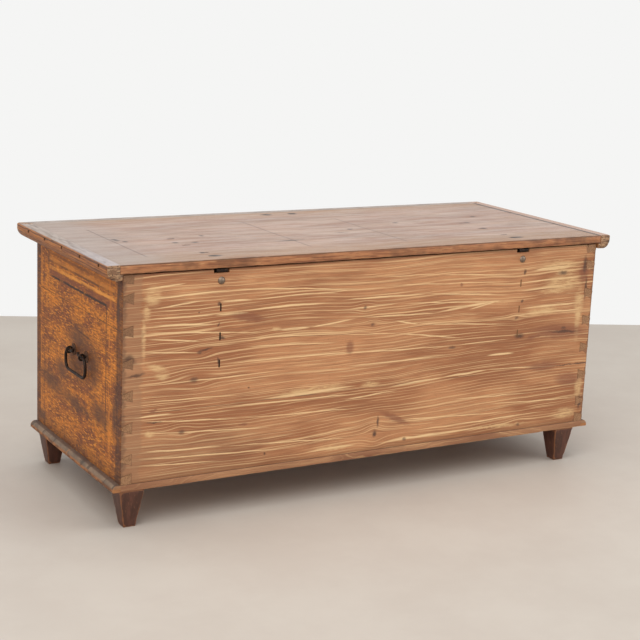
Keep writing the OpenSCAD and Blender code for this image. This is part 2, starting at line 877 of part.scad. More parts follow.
module escutcheon_pin_set(fit) {
    for (s = [-1, 1])
        translate([0, y_front, z_plate + s * (plate_h / 2 - plate_pin_in)]) {
            translate([0, -plate_t - brad_head_h / 2, 0]) rod_y(plate_pin_head_d, brad_head_h);
            translate([0, (plate_pin_bite - plate_t) / 2, 0])
                rod_y(plate_pin_d + 2 * fit, plate_t + plate_pin_bite);
        }
}

module escutcheon_pins() {
    color(iron) escutcheon_pin_set(0);
}

// Quarter bend of a rod in the Y Z plane, its centre at the origin
module bend(d, r, a) {
    rotate([90, 0, 90]) rotate([0, 0, a]) rotate_extrude(angle = 90)
        translate([r, 0]) circle(d = d);
}

module rod_z(d, z0, z1) {
    translate([0, 0, z0]) cylinder(d = d, h = z1 - z0);
}

// Half of a bail, hanging from its pivot at the origin
module half_bail() {
    leg = bail_w / 2;
    tip = tip_span / 2;
    translate([0, tip, 0]) rod_z(bail_d, tip_bend, tip_bend + tip_len);
    translate([0, tip + tip_bend, tip_bend]) bend(bail_d, tip_bend, 180);
    translate([0, (tip + tip_bend + leg - bail_bend) / 2, 0])
        rod_y(bail_d, leg - bail_bend - tip - tip_bend);
    translate([0, leg - bail_bend, -bail_bend]) bend(bail_d, bail_bend, 0);
    translate([0, leg, 0]) rod_z(bail_d, -bail_drop + bail_corner, -bail_bend);
    translate([0, leg - bail_corner, -bail_drop + bail_corner]) bend(bail_d, bail_corner, 270);
    translate([0, (leg - bail_corner) / 2, -bail_drop]) rod_y(bail_d, leg - bail_corner);
}

module bail() {
    color(iron) translate([half_l + eye_out, handle_y, handle_z]) {
        half_bail();
        mirror([0, 1, 0]) half_bail();
    }
}

module bail_right() {
    bail();
}

module bail_left() {
    left() bail();
}

// Eye: a ring outside, a shank through the end board and points spread inside
module eye(s) {
    color(iron) translate([half_l, handle_y + s * eye_span / 2, handle_z]) {
        translate([eye_out, 0, 0]) rotate([90, 0, 0]) rotate_extrude()
            translate([ring_r, 0]) circle(d = eye_d);
        difference() {
            translate([-wall - eye_d / 2, 0, 0]) rod_x(eye_d, wall + eye_d / 2 + eye_out - ring_r);
            translate([eye_out, 0, 0]) rod_y(2 * ring_r, 2 * eye_d);
        }
        translate([-wall - eye_d / 2, 0, 0]) cylinder(d = eye_d, h = eye_clench, center = true);
    }
}

module eye_right_back() {
    eye(1);
}

module eye_right_front() {
    eye(-1);
}

module eye_left_back() {
    left() eye(1);
}

module eye_left_front() {
    left() eye(-1);
}

module washer_pair() {
    color(iron) for (s = [-1, 1])
        translate([half_l, handle_y + s * eye_span / 2, handle_z]) difference() {
            rod_x(washer_d, washer_t);
            translate([-cut, 0, 0]) rod_x(eye_d + 2 * nail_fit, washer_t + 2 * cut);
        }
}

module washers_right() {
    washer_pair();
}

module washers_left() {
    left() washer_pair();
}

back_board_upper();
back_board_lower();
front_board_upper();
front_board_lower();
end_right_upper();
end_right_lower();
end_left_upper();
end_left_lower();
bottom_plank_back();
bottom_plank_front();
foot_back_right();
foot_back_left();
foot_front_right();
foot_front_left();
bottom_nails();
hinge_leaf_right();
hinge_leaf_left();
hinge_pin_right();
hinge_pin_left();
dome_bolt_right();
dome_bolt_left();
leaf_nails_right();
leaf_nails_left();
lock_case();
lock_cap();
lock_nails();
lock_bolt();
escutcheon();
escutcheon_pins();
lid_plank_back();
lid_plank_front();
lid_mould_right();
lid_mould_left();
lid_mould_front();
lid_mould_nails();
lid_strap_right();
lid_strap_left();
strap_nails_right();
strap_nails_left();
lid_staple();
staple_nails();
bail_right();
bail_left();
eye_right_back();
eye_right_front();
eye_left_back();
eye_left_front();
washers_right();
washers_left();
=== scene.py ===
"""Looks of an old pine blanket chest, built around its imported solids."""

from __future__ import annotations

import json
import logging
import math
from collections.abc import Callable, Sequence
from dataclasses import dataclass, field
from enum import Enum
from itertools import pairwise
from typing import Any

import bmesh
import bpy
from mathutils import Matrix, Vector, noise


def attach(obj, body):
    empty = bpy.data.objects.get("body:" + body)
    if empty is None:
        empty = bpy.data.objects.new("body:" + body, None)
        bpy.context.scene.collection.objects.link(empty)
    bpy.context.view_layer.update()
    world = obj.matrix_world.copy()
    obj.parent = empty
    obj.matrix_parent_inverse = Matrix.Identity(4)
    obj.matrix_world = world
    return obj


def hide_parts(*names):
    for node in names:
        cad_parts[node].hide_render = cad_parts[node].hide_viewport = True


LOG = logging.getLogger("chest")
# One of this script's units in Blender's: a millimetre in metres.
MM = 0.001
# Depth in mm of a mark that goes through the whole chest, so that it shows on both ends.
THROUGH = 1e6
# Distance in mm within which a spot counts as lying on a joint.
CLOSE = 0.1
# Distance in metres within which a cut takes a corner as its own.
WELD = 1e-7
# Angles in radians: an edge that bends by more than the first is eased, by more than the second shaded sharp.
EASED, SHARP = 0.5, math.radians(32)
Point = tuple[float, float, float]
Socket = bpy.types.NodeSocket

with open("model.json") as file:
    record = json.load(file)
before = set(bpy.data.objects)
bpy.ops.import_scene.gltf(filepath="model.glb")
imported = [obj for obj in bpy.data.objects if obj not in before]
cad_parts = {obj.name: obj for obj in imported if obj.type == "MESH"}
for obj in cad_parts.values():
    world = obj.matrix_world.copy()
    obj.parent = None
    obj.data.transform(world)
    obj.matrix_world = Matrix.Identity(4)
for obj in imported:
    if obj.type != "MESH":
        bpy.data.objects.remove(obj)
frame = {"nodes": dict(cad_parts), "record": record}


@dataclass(frozen=True)
class Chest:
    """Where the chest's faces and joints lie in its own frame, in mm."""

    end: float = 620.0
    front: float = -239.0
    back: float = 269.0
    base: float = 85.0
    floor: float = 101.0
    top: float = 551.0
    long_seam: float = 251.0
    end_seam: float = 430.0
    lid_end: float = 628.0
    lid_front: float = -247.0
    lid_back: float = 275.0
    lid_low: float = 551.4
    lid_top: float = 571.4
    worn: float = 0.2


CHEST = Chest()


@dataclass(frozen=True)
class Viewpoint:
    """The photograph's camera: place in metres, turns in radians, lens and sensor in mm, width in pixels."""

    eye: Point = (1.7706, 2.9973, 1.1515)
    heading: float = -2.106
    pitch: float = -0.2268
    roll: float = 0.0441
    lens: float = 83.34
    sensor: float = 36.0
    pixels: float = 640.0

    def axes(self) -> tuple[Vector, Vector, Vector]:
        """Gives the camera's directions.

        Returns:
            Right, up and ahead, as unit vectors in the chest's frame.
        """
        ahead = Vector((math.cos(self.pitch) * math.cos(self.heading),
                        math.cos(self.pitch) * math.sin(self.heading), math.sin(self.pitch)))
        right = ahead.cross(Vector((0, 0, 1))).normalized()
        up = right.cross(ahead)
        turned = math.cos(self.roll) * right + math.sin(self.roll) * up
        above = -math.sin(self.roll) * right + math.cos(self.roll) * up
        return turned, above, ahead

    def on_back(self, across: float, down: float) -> tuple[float, float]:
        """Finds the spot of the back's face that a pixel of the photograph shows.

        Args:
            across: The pixel's place from the photograph's left edge.
            down: Its place from the top edge.

        Returns:
            The spot's X and Z in mm.
        """
        right, up, ahead = self.axes()
        middle = self.pixels / 2
        sight = ahead * (self.lens / self.sensor * self.pixels)
        ray = sight + right * (across - middle) - up * (down - middle)
        far = (CHEST.back * MM - self.eye[1]) / ray.y
        return (self.eye[0] + far * ray.x) / MM, (self.eye[2] + far * ray.z) / MM


VIEWPOINT = Viewpoint()


def linear(hex_colour: str) -> tuple[float, float, float, float]:
    """Turns an sRGB hex colour into Blender's linear red, green, blue and alpha."""
    parts = [int(hex_colour.lstrip("#")[i : i + 2], 16) / 255 for i in (0, 2, 4)]
    return (*(c / 12.92 if c <= 0.04045 else ((c + 0.055) / 1.055) ** 2.4 for c in parts), 1.0)


# Settings that a kind of node has here unless a call says otherwise.
USUAL = {"MapRange": {"interpolation_type": "SMOOTHSTEP"}}


class Graph:
    """A node tree that grows one node at a time."""

    def __init__(self, tree: bpy.types.NodeTree) -> None:
        """Starts with an empty tree."""
        self.tree = tree
        tree.nodes.clear()

    def add(self, kind: str, *inputs: Any, out: int | None = 0, **settings: Any) -> Any:
        """Adds one node with its settings and links.

        Args:
            kind: The node's type, and after a colon its operation.
            inputs: A value or a socket for each input in order, or one dict by name or place.
            out: Which output to give back, or None for the node itself.
            settings: Properties of the node.

        Returns:
            The chosen output socket, or the node.
        """
        name, _, operation = kind.partition(":")
        known = name.startswith(("Geometry", "Function", "NodeGroup"))
        node = self.tree.nodes.new(name if known else "ShaderNode" + name)
        if operation:
            node.operation = operation
        for key, value in (USUAL.get(name, {}) | settings).items():
            setattr(node, key, value)
        by_name = inputs[0].items() if inputs and isinstance(inputs[0], dict) else enumerate(inputs)
        for key, value in by_name:
            if isinstance(value, Socket):
                self.tree.links.new(value, node.inputs[key])
            elif value is not None:
                node.inputs[key].default_value = value
        return node if out is None else node.outputs[out]


class Grain(Enum):
    """Axes that run along a board's fibres, across them and through the board."""

    LONG_UPRIGHT = (0, 2, 1)
    END_UPRIGHT = (1, 2, 0)
    FLAT = (0, 1, 2)
    FLAT_ENDWISE = (1, 0, 2)
    LEG = (2, 0, 1)


@dataclass
class Field:
    """Sockets of a board's own coordinates in millimetres."""

    along: Socket
    across: Socket
    place: Socket
    x: Socket
    y: Socket
    z: Socket


def board_field(g: Graph, grain: Grain) -> Field:
    """Makes the coordinates that every wood pattern reads.

    Args:
        g: The material's graph.
        grain: Which axes the fibres follow.

    Returns:
        The sockets, in millimetres in the chest's own frame.
    """
    place = g.add("VectorMath:SCALE", {0: g.add("TexCoord", out=3), "Scale": 1 / MM})
    xyz = g.add("SeparateXYZ", place, out=None).outputs
    a, b, c = (xyz[i] for i in grain.value)
    return Field(a, b, g.add("CombineXYZ", a, b, c), xyz[0], xyz[1], xyz[2])


def cloud(g: Graph, f: Field, scale: Point, seed: float, detail: float = 2.0,
          rough: float = 0.5) -> Socket:
    """Soft noise with its own stretch along, across and through the fibres.

    Args:
        g: The material's graph.
        f: The board's coordinates.
        scale: Features per millimetre in each direction.
        seed: Moves the pattern.
        detail: Octaves of the noise.
        rough: How strong the fine octaves are.

    Returns:
        A value around 0.5.
    """
    spread = g.add("VectorMath:MULTIPLY_ADD", f.place, scale, (seed, seed * 1.7, seed * 0.6))
    return g.add("TexNoise", {"Vector": spread, "Scale": 1.0, "Detail": detail, "Roughness": rough})


def patches(g: Graph, f: Field, scale: Point, seed: float, cut: tuple[float, ...], detail: float = 2.0,
            rough: float = 0.5) -> Socket:
    """Soft noise cut into patches, as dirt, wear and brush marks lie on old wood.

    Args:
        g: The material's graph.
        f: The board's coordinates.
        scale: Features per millimetre along, across and through the fibres.
        seed: Moves the pattern.
        cut: Noise where the patches begin and where they are full, then the result at both, if not 0 and 1.
        detail: Octaves of the noise.
        rough: How strong the fine octaves are.

    Returns:
        The strength of the patches.
    """
    return g.add("MapRange", cloud(g, f, scale, seed, detail, rough), *cut)


def window(g: Graph, value: Socket, low: float, high: float, soft: float) -> Socket:
    """One between two values and zero outside, with soft limits.

    Args:
        g: The material's graph.
        value: The value that is tested.
        low: The lower limit.
        high: The upper limit.
        soft: Half the width of each limit.

    Returns:
        A share from 0 to 1.
    """
    rise = g.add("MapRange", value, low - soft, low + soft)
    fall = g.add("MapRange", value, high - soft, high + soft, 1.0, 0.0)
    return g.add("Math:MULTIPLY", rise, fall)


def growth_lines(g: Graph, f: Field, height: Socket, pitch: float, seed: float, wide: float,
                 run: float, fill: float) -> Socket:
    """Pale lines of soft early wood, each with its own width, that fade in and out.

    Args:
        g: The material's graph.
        f: The board's coordinates.
        height: Warped distance across the fibres, in millimetres.
        pitch: Distance between two lines in millimetres.
        seed: Moves the pattern.
        wide: Greatest width of a line as a share of the pitch.
        run: Usual length of a line in millimetres.
        fill: How much of the length is lit, from 0 to 1.

    Returns:
        The strength of the line at each point, from 0 to 1.
    """
    # Rings are numbered across the board, and each finish starts at another number.
    ring = g.add("Math:DIVIDE", height, pitch)
    ring = g.add("Math:ADD", ring, seed * 3.1 + 100.0)
    number = g.add("Math:FLOOR", ring)
    share = g.add("Math:FRACT", ring)
    # A line is a quarter of the greatest width or more, steep on its lower side and soft on its upper one.
    own = g.add("TexWhiteNoise", {"W": number}, noise_dimensions="1D")
    width = g.add("MapRange", own, 0.0, 1.0, wide * 0.25, wide, interpolation_type="LINEAR")
    rise = g.add("MapRange", share, 0.0, g.add("Math:MULTIPLY", width, 0.3))
    fall = g.add("MapRange", share, g.add("Math:MULTIPLY", width, 0.4), width, 1.0, 0.0)
    line = g.add("Math:MULTIPLY", rise, fall)
    # Each ring reads its own row of the noise, so that neighbours fade at different places.
    reached = g.add("Math:DIVIDE", f.along, run)
    spot = g.add("CombineXYZ", reached, g.add("Math:MULTIPLY", number, 7.31), seed)
    lit = g.add("TexNoise", {"Vector": spot, "Scale": 1.0, "Detail": 2.0, "Roughness": 0.6})
    lit = g.add("MapRange", lit, 0.62 - 0.3 * fill, 0.80 - 0.3 * fill)
    return g.add("Math:MULTIPLY", line, lit)


@dataclass(frozen=True)
class Oval:
    """A mark on a board: its middle, half its length and half its height in mm, its lean in degrees."""

    along: float
    across: float
    half_long: float = 6.0
    half_high: float = 5.0
    lean: float = 0.0


@dataclass(frozen=True)
class Crop:
    """An enlarged crop of the photograph, by its corner in the photograph's pixels.

    Zoom is the number of its pixels to one of the photograph's, and stretch makes a streak longer than read.
    """

    left: float
    top: float
    zoom: float = 4.5
    stretch: float = 1.15

    def streaks(self, *read: tuple[float, float, float, float, float]) -> list[Oval]:
        """Turns streaks that were read off the crop into marks on the back.

        Args:
            read: Places of a streak's two ends in the crop's own pixels, and half its width in mm.

        Returns:
            The marks, each a little longer than the streak because a mark's tips fade.
        """
        made = []
        for x0, y0, x1, y1, half_width in read:
            (a, low), (b, high) = (VIEWPOINT.on_back(self.left + x / self.zoom, self.top + y / self.zoom)
                                   for x, y in ((x0, y0), (x1, y1)))
            half_long = math.hypot(b - a, high - low) / 2 * self.stretch
            lean = math.degrees(math.atan((high - low) / (b - a)))
            middle = int((a + b) / 2), int((low + high) / 2)
            made.append(Oval(*middle, int(half_long), half_width, round(lean, 1)))
        return made


def ovals(g: Graph, place: Socket, marks: Sequence[Oval], depth: float, soft: float,
          deep: float = 9.0) -> Socket:
    """Strength of the nearest of some marks that lie on one face of a board.

    Args:
        g: The material's graph.
        place: The board's coordinates, shaken as the marks shall be.
        marks: The marks.
        depth: Where the face lies through the board, in mm.
        soft: Share of the way in from the rim over which a mark grows to full strength.
        deep: How far through the board a mark reaches, in mm.

    Returns:
        One in the middle of a mark, falling to zero at its rim.
    """
    found: Any = 0.0
    for m in marks:
        spot = g.add("Mapping", place, (m.along, m.across, depth), (0.0, 0.0, math.radians(m.lean)),
                     (m.half_long, m.half_high, deep), vector_type="TEXTURE")
        found = g.add("Math:MAXIMUM", g.add("TexGradient", spot, out=1, gradient_type="SPHERICAL"), found)
    return g.add("MapRange", found, 0.0, soft)


def shaken(g: Graph, f: Field, scale: float, by: float, seed: float) -> Socket:
    """The board's coordinates, moved about by soft noise.

    Args:
        g: The material's graph.
        f: The board's coordinates.
        scale: Features of the noise per millimetre.
        by: Greatest move in mm.
        seed: Moves the pattern.

    Returns:
        The moved coordinates.
    """
    spread = g.add("VectorMath:MULTIPLY_ADD", f.place, (scale, scale, scale), (seed, seed, seed))
    colour = g.add("TexNoise", {"Vector": spread, "Scale": 1.0, "Detail": 2.0}, out=1)
    away = g.add("VectorMath:SUBTRACT", colour, (0.5, 0.5, 0.5))
    return g.add("VectorMath:MULTIPLY_ADD", away, (2 * by, 2 * by, 0.0), f.place)


def knots(g: Graph, f: Field, places: Sequence[Oval], push: float) -> Any:
    """How far knots push the grain aside.

    Args:
        g: The material's graph.
        f: The board's coordinates.
        places: The knots.
        push: The push as a share of a knot's own height.

    Returns:
        The move of the grain across the board, in mm.
    """
    moved: Any = 0.0
    for k in places:
        # The push is a bell: it fades to 0.37 where the knot is 3.6 half lengths or 2.4 half heights away.
        away = g.add("VectorMath:SUBTRACT", f.place, (k.along, k.across, 0.0))
        away = g.add("VectorMath:MULTIPLY", away, (0.28 / k.half_long, 0.42 / k.half_high, 0.0))
        fade = g.add("Math:POWER", 0.37, g.add("VectorMath:DOT_PRODUCT", away, away, out=1))
        bell = g.add("Math:MULTIPLY", g.add("SeparateXYZ", away, out=1), fade)
        moved = g.add("Math:MULTIPLY_ADD", bell, -2.4 * push * k.half_high, moved)
    return moved


def lay(g: Graph, under: Any, over: Any, *shares: Any) -> Socket:
    """Lays one colour over another.

    Args:
        g: The material's graph.
        under: The colour below, as hex or a socket.
        over: The colour on top, as hex or a socket.
        shares: Sockets and numbers whose product is the share of the upper colour.

    Returns:
        The mixed colour.
    """
    share: Any = math.prod(s for s in shares if not isinstance(s, Socket))
    for mask in (s for s in shares if isinstance(s, Socket)):
        share = mask if share == 1.0 else g.add("Math:MULTIPLY", mask, share)
    under, over = (linear(c) if isinstance(c, str) else c for c in (under, over))
    return g.add("Mix", {0: share, 6: under, 7: over}, out=2, data_type="RGBA", clamp_factor=True)


def worn_share(g: Graph, f: Field, most: float) -> Socket:
    """Share of rubbed wood near a piece's eased edges, broken up by noise.

    Args:
        g: The material's graph.
        f: The board's coordinates.
        most: The share where the edge is rubbed most.

    Returns:
        The share.
    """
    near = g.add("Math:POWER", g.add("Attribute", out=2, attribute_name="worn"), 3.0)
    patchy = g.add("Math:MULTIPLY_ADD", cloud(g, f, (0.09, 0.09, 0.09), 77.0, 4.0, 0.6), 1.2, -0.6)
    return g.add("MapRange", g.add("Math:ADD", near, patchy), 0.55, 1.0, 0.0, most)


@dataclass(frozen=True)
class Finish:
    """A finish of the chest's surfaces."""

    title: str
    roughness: float = 0.6
    ior: float = 1.53
    metallic: float = 0.0

    def colour(self, g: Graph, f: Field) -> tuple[Any, Any, Any]:
        """Builds the pattern.

        Args:
            g: The material's graph.
            f: The surface's coordinates.

        Returns:
            Colour, roughness and height in mm.
        """
        raise NotImplementedError

    def material(self, grain: Grain) -> bpy.types.Material:
        """Gives the finish's material for one run of the fibres, made once.

        Args:
            grain: Which axes the fibres follow.

        Returns:
            The material.
        """
        name = f"{self.title}_{grain.name.lower()}"
        if name in bpy.data.materials:
            return bpy.data.materials[name]
        made = bpy.data.materials.new(name)
        made.use_nodes = True
        g = Graph(made.node_tree)
        colour, rough, height = self.colour(g, board_field(g, grain))
        sockets = {"Base Color": colour, "Roughness": rough, "IOR": self.ior, "Metallic": self.metallic,
                   "Normal": g.add("Bump", {"Strength": 1.0, "Distance": MM, "Height": height})}
        shader = g.add("BsdfPrincipled", sockets)
        g.add("OutputMaterial", shader, out=None)
        return made


@dataclass(frozen=True)
class BarePine(Finish):
    """Old unpainted pine: dull reddish brown, with pale soft early wood left between the hard late wood."""

    light: str = "#B98560"
    dark: str = "#A06A46"
    line: str = "#DDB07C"
    shade: str = "#7A5034"
    lines: float = 1.0
    spots: tuple[Oval, ...] = ()
    seed: float = 1.0
    pitch: float = 15.0

    def grained(self, g: Graph, f: Field) -> tuple[Socket, Socket]:
        """Grain with its lines and knots.

        Args:
            g: The material's graph.
            f: The board's coordinates.

        Returns:
            Colour and height in mm.
        """
        slow = g.add("Math:MULTIPLY_ADD", cloud(g, f, (0.0018, 0.004, 0.01), self.seed, 1.0), 60.0, f.across)
        quick = g.add("Math:MULTIPLY_ADD", cloud(g, f, (0.007, 0.02, 0.02), self.seed + 5, 2.0), 8.0, slow)
        height = g.add("Math:ADD", quick, knots(g, f, self.spots, 0.8))
        bold = growth_lines(g, f, height, self.pitch, self.seed, wide=0.36, run=280.0, fill=0.75)
        fine = growth_lines(g, f, height, self.pitch * 0.47, self.seed + 9, wide=0.5, run=190.0, fill=0.75)
        hair = growth_lines(g, f, height, self.pitch * 0.19, self.seed + 19, wide=0.6, run=120.0, fill=0.7)
        pale = g.add("Math:MAXIMUM", bold, g.add("Math:MULTIPLY", fine, 0.7))
        pale = g.add("Math:MAXIMUM", pale, g.add("Math:MULTIPLY", hair, 0.32))
        pale = g.add("Math:MULTIPLY", pale, self.lines)
        tone = patches(g, f, (0.004, 0.016, 0.01), self.seed + 2, (0.36, 0.64), 3.0)
        base = lay(g, self.dark, self.light, tone)
        fibre = patches(g, f, (0.02, 0.9, 0.5), self.seed + 3, (0.35, 0.7), 3.0, 0.6)
        base = lay(g, base, self.shade, fibre, 0.38)
        dust = patches(g, f, (0.16, 0.5, 0.3), self.seed + 13, (0.56, 0.7), 4.0, 0.75)
        base = lay(g, base, self.shade, dust, 0.5)
        beside = g.add("Math:ADD", height, self.pitch * 0.3)
        late = growth_lines(g, f, beside, self.pitch, self.seed, wide=0.3, run=190.0, fill=0.8)
        base = lay(g, base, self.shade, late, 0.45 * self.lines)
        colour = lay(g, base, self.line, pale, 0.9)
        relief = g.add("Math:MULTIPLY_ADD", fibre, 0.12, g.add("Math:MULTIPLY", pale, -0.2))
        return colour, relief


@dataclass(frozen=True)
class Band:
    """A painted line: where it runs, half its width in mm, its colour and how strong it is."""

    at: float
    half: float
    colour: str
    share: float


@dataclass(frozen=True)
class GrainedPaint(Finish):
    """Oil graining paint over pine: an orange brown ground under combed flecks, rubbed off at the edges."""

    roughness: float = 0.58
    ior: float = 1.48
    low: float = CHEST.front
    high: float = CHEST.back
    frame: tuple[float, float, float, float] = (-166.0, 184.0, 60.0, 468.0)
    half_line: float = 1.3
    corner: float = 2.4
    seam: float = CHEST.end_seam
    level: tuple[Band, ...] = ()
    upright: tuple[Band, ...] = ()
    stains: tuple[Oval, ...] = ()
    ticks: tuple[Oval, ...] = ()
    light: str = "#D47D22"
    dark: str = "#8C4A22"
    bare: BarePine = BarePine("bare", lines=0.35)

    def combed(self, g: Graph, f: Field) -> tuple[Socket, Socket]:
        """Ground colour under short combed strokes.

        Args:
            g: The material's graph.
            f: The surface's coordinates.

        Returns:
            Colour and strength of the dark strokes.
        """
        tone = patches(g, f, (0.009, 0.022, 0.01), 3.0, (0.38, 0.6), 5.0, 0.62)
        ground = lay(g, self.dark, self.light, tone)
        comb = patches(g, f, (0.045, 0.25, 0.1), 7.0, (0.49, 0.57), 3.0, 0.7)
        colour = lay(g, ground, "#5A3016", comb, 0.62)
        upright = patches(g, f, (0.26, 0.03, 0.1), 17.0, (0.5, 0.6), 3.0, 0.6)
        colour = lay(g, colour, "#5A321E", upright, 0.4)
        glow = patches(g, f, (0.06, 0.26, 0.1), 13.0, (0.54, 0.61), 3.0, 0.7)
        return lay(g, colour, "#F09A34", glow, 0.75), comb

    def framed(self, g: Graph, f: Field, colour: Socket) -> Socket:
        """Draws the painted frame and the bands over it.

        Args:
            g: The material's graph.
            f: The surface's coordinates.
            colour: The colour so far.

        Returns:
            The new colour.
        """
        moved = g.add("SeparateXYZ", shaken(g, f, 0.03, 1.5, 31.0), out=None).outputs
        left, right, low, high = self.frame
        inside = window(g, moved[0], left + 6, right + 44, 6.0)
        for band in self.level:
            patchy = patches(g, f, (0.02, 0.05, 0.02), band.at, (0.35, 0.55, 0.4, 1.0), 3.0)
            run = window(g, moved[1], band.at - band.half, band.at + band.half, 1.4)
            colour = lay(g, colour, band.colour, run, inside, patchy, band.share)
        for band in self.upright:
            patchy = patches(g, f, (0.1, 0.012, 0.02), band.at, (0.42, 0.58), 3.0)
            run = window(g, moved[0], band.at - band.half, band.at + band.half, 1.6)
            colour = lay(g, colour, band.colour, run, patchy, band.share)
        # The frame's line lies between two rectangles, and is twice as thick at the top.
        outer, inner = (
            g.add("Math:MULTIPLY", window(g, moved[0], left - out, right + out, 0.5),
                  window(g, moved[1], low - out, high + 2 * out, 0.6))
            for out in (self.half_line, -self.half_line))
        line = g.add("Math:SUBTRACT", outer, inner)
        worn = patches(g, f, (0.03, 0.03, 0.03), 41.0, (0.3, 0.5, 0.45, 0.95), 3.0)
        fresh = g.add("MapRange", moved[0], left + 3, left + 20, 0.3, 1.0)
        return lay(g, colour, "#26160E", line, worn, fresh, g.add("MapRange", moved[1], 150.0, 215.0))

    def paint(self, g: Graph, f: Field) -> tuple[Socket, Socket]:
        """The paint itself.

        Args:
            g: The material's graph.
            f: The surface's coordinates, along and across the painted frame.

        Returns:
            Colour and height in mm.
        """
        colour, comb = self.combed(g, f)
        colour = self.framed(g, f, colour)
        broken = patches(g, f, (0.02, 0.02, 0.02), 33.0, (0.38, 0.5, 0.1, 0.85), 3.0)
        colour = lay(g, colour, "#2A170E", window(g, f.z, self.seam - 0.8, self.seam + 0.8, 0.5), broken)
        ragged = g.add("Math:MULTIPLY_ADD", cloud(g, f, (0.03, 0.02, 0.03), 63.0, 4.0), 26.0, f.along)
        for near, far in ((self.high - 22, self.high - 12), (self.low + 34, self.low + 24)):
            colour = lay(g, colour, "#48291C", g.add("MapRange", ragged, near, far, 0.0, 0.7))
        # Darker towards the bottom.
        low_darkening = g.add("MapRange", f.z, CHEST.floor + 45, CHEST.floor + 3, 0.0, 0.5)
        colour = lay(g, colour, "#4A2E1E", low_darkening)
        dark = ovals(g, shaken(g, f, 0.03, 16.0, 51.0), self.stains, 0.0, 0.9, THROUGH)
        colour = lay(g, colour, "#553321", dark, 0.8)
        colour = lay(g, colour, "#3A2016", ovals(g, f.place, self.ticks, 0.0, 0.5, THROUGH), 0.7)
        return colour, g.add("Math:MULTIPLY", comb, -0.06)

    def cover(self, g: Graph, f: Field) -> Socket:
        """Share of paint: the outside of the ends and of the front, with a worn limit at the corners.

        Args:
            g: The material's graph.
            f: The surface's coordinates.

        Returns:
            One where the paint lies, else zero.
        """
        worn = g.add("Math:MULTIPLY", cloud(g, f, (0.05, 0.05, 0.05), 61.0, 2.0), self.corner)
        limit = g.add("Math:ADD", worn, CHEST.end - self.corner)
        side = g.add("Math:GREATER_THAN", g.add("Math:ABSOLUTE", f.x), limit)
        front = g.add("Math:LESS_THAN", f.y, g.add("Math:SUBTRACT", CHEST.front + self.corner, worn))
        return g.add("Math:MAXIMUM", side, front)

    def colour(self, g: Graph, f: Field) -> tuple[Any, Any, Any]:
        """Paint outside, bare pine inside, grey end grain where a pin ends at the back.

        Args:
            g: The material's graph.
            f: The surface's coordinates.

        Returns:
            Colour, roughness and height in mm.
        """
        colour, relief = self.paint(g, f)
        pine, _ = self.bare.grained(g, f)
        dots = patches(g, f, (0.5, 0.5, 0.5), 71.0, (0.4, 0.65), 2.0)
        pins = lay(g, "#A87C58", "#86603F", dots)
        upper, right = g.add("MapRange", f.z, 250.0, 380.0), g.add("MapRange", f.x, 0.0, 1.0)
        pins = lay(g, pins, "#6E4A32", upper, right, 0.5)
        pine = lay(g, pine, pins, g.add("MapRange", f.y, CHEST.back - 1.0, CHEST.back - 0.4))
        return lay(g, pine, colour, self.cover(g, f)), self.roughness, relief


